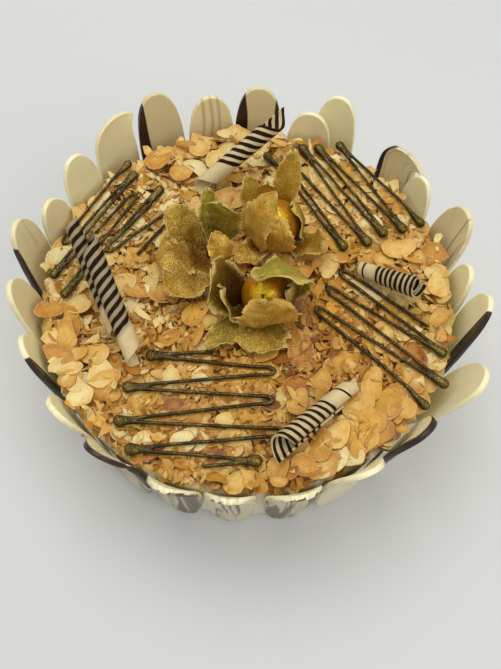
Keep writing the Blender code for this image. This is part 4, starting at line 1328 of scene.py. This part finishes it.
def huskMaterial():
    paint = Paint("papery", {"Roughness": 0.55, "Specular IOR Level": 0.22,
                             "Specular Tint": (1.0, 0.8, 0.45, 1.0), "Subsurface Weight": 0.3,
                             "Subsurface Scale": 1.0, "Subsurface Radius": (0.003, 0.0024, 0.0006)},
                  (184, 126, 28))
    green, dusty, part, vein, ridge, margin, deep = paint.attributes(
        "green", "dusty", "part", "vein", "ridge", "margin", "deep")
    off, fine = paint.noise(7.0, 2.0) - 0.5, paint.noise(0.8, 2.0, 0.6)
    faded = paint.noise(4.5, 3.0, 0.6).fade(0.47, 0.7)
    raised = ridge * 0.3 + margin * 0.35 + off
    flecks = paint.flecks(0.2, (dusty * 0.84 + 0.06) * raised.fade(0.0, 0.65) * (1.0 - deep))
    # green, faded patches, amber base, painted shade in the creases, veins, painted highlight on the margin,
    # specks, painted shade in the hollow, and gold
    for share, tint in (((off * 1.4 + green).clamped(), (142, 130, 40)), (faded * 0.5, (206, 174, 82)),
                        ((part + off * 0.6).fade(0.6, 0.1) * 0.72, (118, 70, 8)),
                        # painted shade: creases, where ridge is low, are darkened; the veins after them are
                        # their own paler colour
                        (ridge.fade(0.4, 0.0) * 0.4, (78, 56, 8)), (vein * 0.22, (200, 184, 112)),
                        # painted highlight: the lobes' margins are lightened as if the thin paper caught the
                        # light
                        (margin.fade(0.8, 0.97) * 0.8, (222, 200, 122)),
                        # specks are the paper's own colour; deep is painted shade that darkens the hollows
                        # nearly black
                        (fine.fade(0.45, 0.75) * 0.25, (96, 74, 18)), (deep * 0.97, (30, 14, 1)),
                        (flecks * 0.75, (236, 190, 98))):
        paint.coat(share, tint)
    return paint.finish((vein * 0.9 + fine, 0.25, 0.6), flecks * 0.6)


def lobePath(length, hug, tipAngle, clearance, count):
    radius = husks["berryRadius"] + clearance
    angle = husks["startAngle"]
    reach = radius * math.sin(math.radians(angle))
    height = radius * (1.0 - math.cos(math.radians(angle)))
    hugLength = radius * math.radians(hug - angle)
    fineSteps = 4
    step = length / (count - 1) / fineSteps
    path = []
    for index in range((count - 1) * fineSteps + 1):
        if index % fineSteps == 0:
            path.append((reach, height, math.radians(angle)))
        if index * step < hugLength:
            angle += math.degrees(step / radius)
        else:
            angle += (tipAngle - hug) * step / max(length - hugLength, 1e-6)
        reach += step * math.cos(math.radians(angle))
        height += step * math.sin(math.radians(angle))
    return path


def lobeSpread(part):
    if part < 0.5:
        return husks["start"] + (1.0 - husks["start"]) * math.sin(math.pi * part)
    return husks["tip"] + (1.0 - husks["tip"]) * (1.0 - (2.0 * part - 1.0) ** 2) ** husks["taper"]


def lobeMesh(centre, baseHeight, row, phase, seed, crumpled):
    azimuth, length, width, hug, tipAngle, fold, twist, clearance, green, dusty, hollowShade = row
    outward, along = azimuthFrame(azimuth)
    rows, columns = husks["rows"], husks["columns"]
    path = lobePath(length, hug, tipAngle, clearance, rows)
    origin = np.array([*centre, baseHeight])
    # near the berry the paper has less room to crumple
    room = 1.0 if hug < 30.0 else min(1.0, 0.35 + 0.22 * abs(clearance))
    vertices = []
    columnsOf = {key: [] for key in huskLooks}
    for line, (reach, height, angle) in enumerate(path):
        part = line / (rows - 1)
        ahead = outward * math.cos(angle) + rise * math.sin(angle)
        normal = np.cross(ahead, along)
        side = turned(along, ahead, twist * part)
        facing = turned(normal, ahead, twist * part)
        spread = lobeSpread(part)
        for column in range(columns):
            x = 2.0 * column / (columns - 1) - 1.0
            edge = math.copysign(3.0, x) + seed
            ragged = sum(amount * noise.noise(Vector((part * often, edge + apart, level)))
                         for amount, often, apart, level in husks["ragged"])
            reachShare = 1.0 + (ragged - 0.05) * 0.3 * abs(x) ** 4
            wave = husks["edgeWave"] * abs(x) * math.sin(7.0 * part + phase + 2.0 * x)
            bend = (wave - fold * x * x) * part * spread
            curlUp = 1.5 * abs(x) ** 4 * math.sin(14.0 * part + phase * 3.0 + 3.0 * x) * min(1.0, part * 2.0)
            spot = Vector((x * spread * width / 2.0, part * length, seed * 5.0))
            creases = 0.35 - abs(noise.noise(spot / 5.2))
            small = 0.4 - abs(noise.noise(spot / 1.9 + Vector((5.0, 0.0, 0.0))))
            crumple = 1.4 * noise.noise(spot / 8.0) + 0.9 * creases + 0.16 * small
            crumple *= min(1.0, part * 2.5) * room * crumpled
            ribs = abs(math.sin((x * 3.0 + 0.5 * part) * math.pi / 1.5))
            vein = max(0.0, 1.0 - ribs * 5.0)
            slanted = abs(((part * 11.0 - abs(x) * 3.2) % 1.0) - 0.5) * 2.0
            vein = max(vein, max(0.0, 1.0 - slanted * 8.0) * 0.6)
            torn = sum(0.5 * noise.noise(Vector((x * often, seed, level)))
                       for often, level in ((5.0, 7.0), (14.0, 1.0)))
            tipBack = 1.0 - 0.09 * (0.4 + torn) * part ** 6
            offset = bend + curlUp + crumple + 0.16 * vein
            flat = side * (x * spread * reachShare * width / 2.0) + facing * offset
            vertices.append(origin + (outward * reach + rise * height) * tipBack + flat)
            columnsOf["part"].append(part)
            columnsOf["vein"].append(vein)
            columnsOf["margin"].append(max(abs(x), part ** 3))
            columnsOf["ridge"].append(min(1.0, max(0.0, 0.45 + creases + 0.6 * small)))
            # painted shade of the hollow: over most of the lobe, fading out at the tip and the edges
            columnsOf["deep"].append(hollowShade * max(0.0, 1.0 - (part / 0.96) ** 5) * (1.0 - abs(x) ** 8))
    columnsOf["green"] = [green] * len(vertices)
    columnsOf["dusty"] = [dusty] * len(vertices)
    return vertices, gridFaces(rows, columns), columnsOf


def makeHusk(node, row, material, seed):
    baseHeight = coreTop(math.hypot(*row["centre"])) + husks["lay"]
    vertices, faces = [], []
    columnsOf = {key: [] for key in huskLooks}
    for index, lobe in enumerate(row["lobes"]):
        more, moreFaces, looks = lobeMesh(row["centre"], baseHeight, lobe, index * 1.7, seed + index * 2.1,
                                          row["crumple"])
        faces += shifted(moreFaces, len(vertices))
        vertices += more
        for key, values in looks.items():
            columnsOf[key] += values
    # the small cup at the husk's base
    start, sides = len(vertices), 24
    levels = ((0.05, -1.0), (0.7, -1.0), (0.85, -0.5), (1.0, 0.1), (0.9, 0.5), (0.05, 0.45))
    for share, height in levels:
        for side in range(sides):
            angle = 2.0 * math.pi * side / sides
            radius = husks["baseRadius"] * share * (1.0 + 0.05 * math.sin(5 * angle))
            vertices.append(np.array([row["centre"][0] + radius * math.cos(angle),
                                      row["centre"][1] + radius * math.sin(angle), baseHeight + height]))
    faces += shifted(gridFaces(len(levels), sides, wrap=True), start)
    faces.append(tuple(start + side for side in reversed(range(sides))))
    faces.append(tuple(len(vertices) - sides + side for side in range(sides)))
    extra = len(vertices) - start
    for key, value in huskLooks.items():
        columnsOf[key] += [value] * extra
    obj = meshPiece(pieceName(node), vertices, faces, material)
    for key, values in columnsOf.items():
        addAttribute(obj, key, values)
    addModifier(obj, "Paper", "SOLIDIFY", thickness=husks["thickness"] * mm, offset=0.0)
    bakeModifiers(obj)
    obj.data.shade_smooth()
    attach(obj, "root")
    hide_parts(node)
    print(obj.name, len(obj.data.polygons), "faces")


berries = {"sides": 96, "rings": 64, "skin": (184, 124, 14), "deep": (126, 72, 6), "glint": (240, 200, 52),
           "dustCentres": {"berry_front": (6.3, -13.9, 73.6), "berry_back": (10.2, 22.4, 74.0)},
           "dustReach": 4.6}


def berryMaterial(node):
    paint = Paint("goldenBerry" + node.split("_")[1].capitalize(),
                  {"Roughness": 0.34, "Specular IOR Level": 0.3, "Specular Tint": (1.0, 0.85, 0.5, 1.0),
                   "Subsurface Weight": 0.45, "Subsurface Scale": 1.0,
                   "Subsurface Radius": (0.005, 0.003, 0.0006)}, berries["skin"])
    paint.coat(paint.noise(4.5, 3.0), berries["deep"])
    spot = paint.away(berries["dustCentres"][node], berries["dustReach"])
    spot = spot + (paint.noise(1.6, 3.0) - 0.5) * 0.7
    glow = spot.fade(1.5, 0.25)
    flecks = paint.flecks(0.26, glow * 0.7)
    paint.coat(glow * 0.85, (224, 174, 30))
    paint.coat(flecks, berries["glint"])
    paint.coat(spot.fade(0.2, 0.1), (84, 48, 10))
    return paint.finish((paint.noise(0.8, 2.0), 0.06, 0.4), flecks * 0.6)


def makeBerry(node, centre, seed):
    height = coreTop(math.hypot(*centre)) + husks["lay"] + husks["berryRadius"] + husks["berryLift"]
    middle = np.array([*centre, height])
    vertices = [middle + rise * husks["berryRadius"]]
    sides, rings = berries["sides"], berries["rings"]
    for ring in range(1, rings):
        polar = math.pi * ring / rings
        for angle in roundAngles(sides):
            way = np.array([math.sin(polar) * math.cos(angle), math.sin(polar) * math.sin(angle),
                            math.cos(polar)])
            swell = 1.0 + 0.012 * noise.noise(Vector(way * 1.8) + Vector((seed, 0, 0)))
            vertices.append(middle + way * husks["berryRadius"] * swell)
    vertices.append(middle - rise * husks["berryRadius"])
    obj = meshPiece(pieceName(node), vertices, poleFaces(rings - 1, sides), berryMaterial(node))
    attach(obj, "root")
    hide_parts(node)


paperyHusk = huskMaterial()
for index, (nodeName, rowOfNode) in enumerate(huskRows.items()):
    makeHusk(nodeName, rowOfNode, paperyHusk, 1.0 + index * 17.3)
    if rowOfNode["berry"]:
        makeBerry(rowOfNode["berry"], rowOfNode["centre"], index * 5.1)
print("husks and berries are in place")
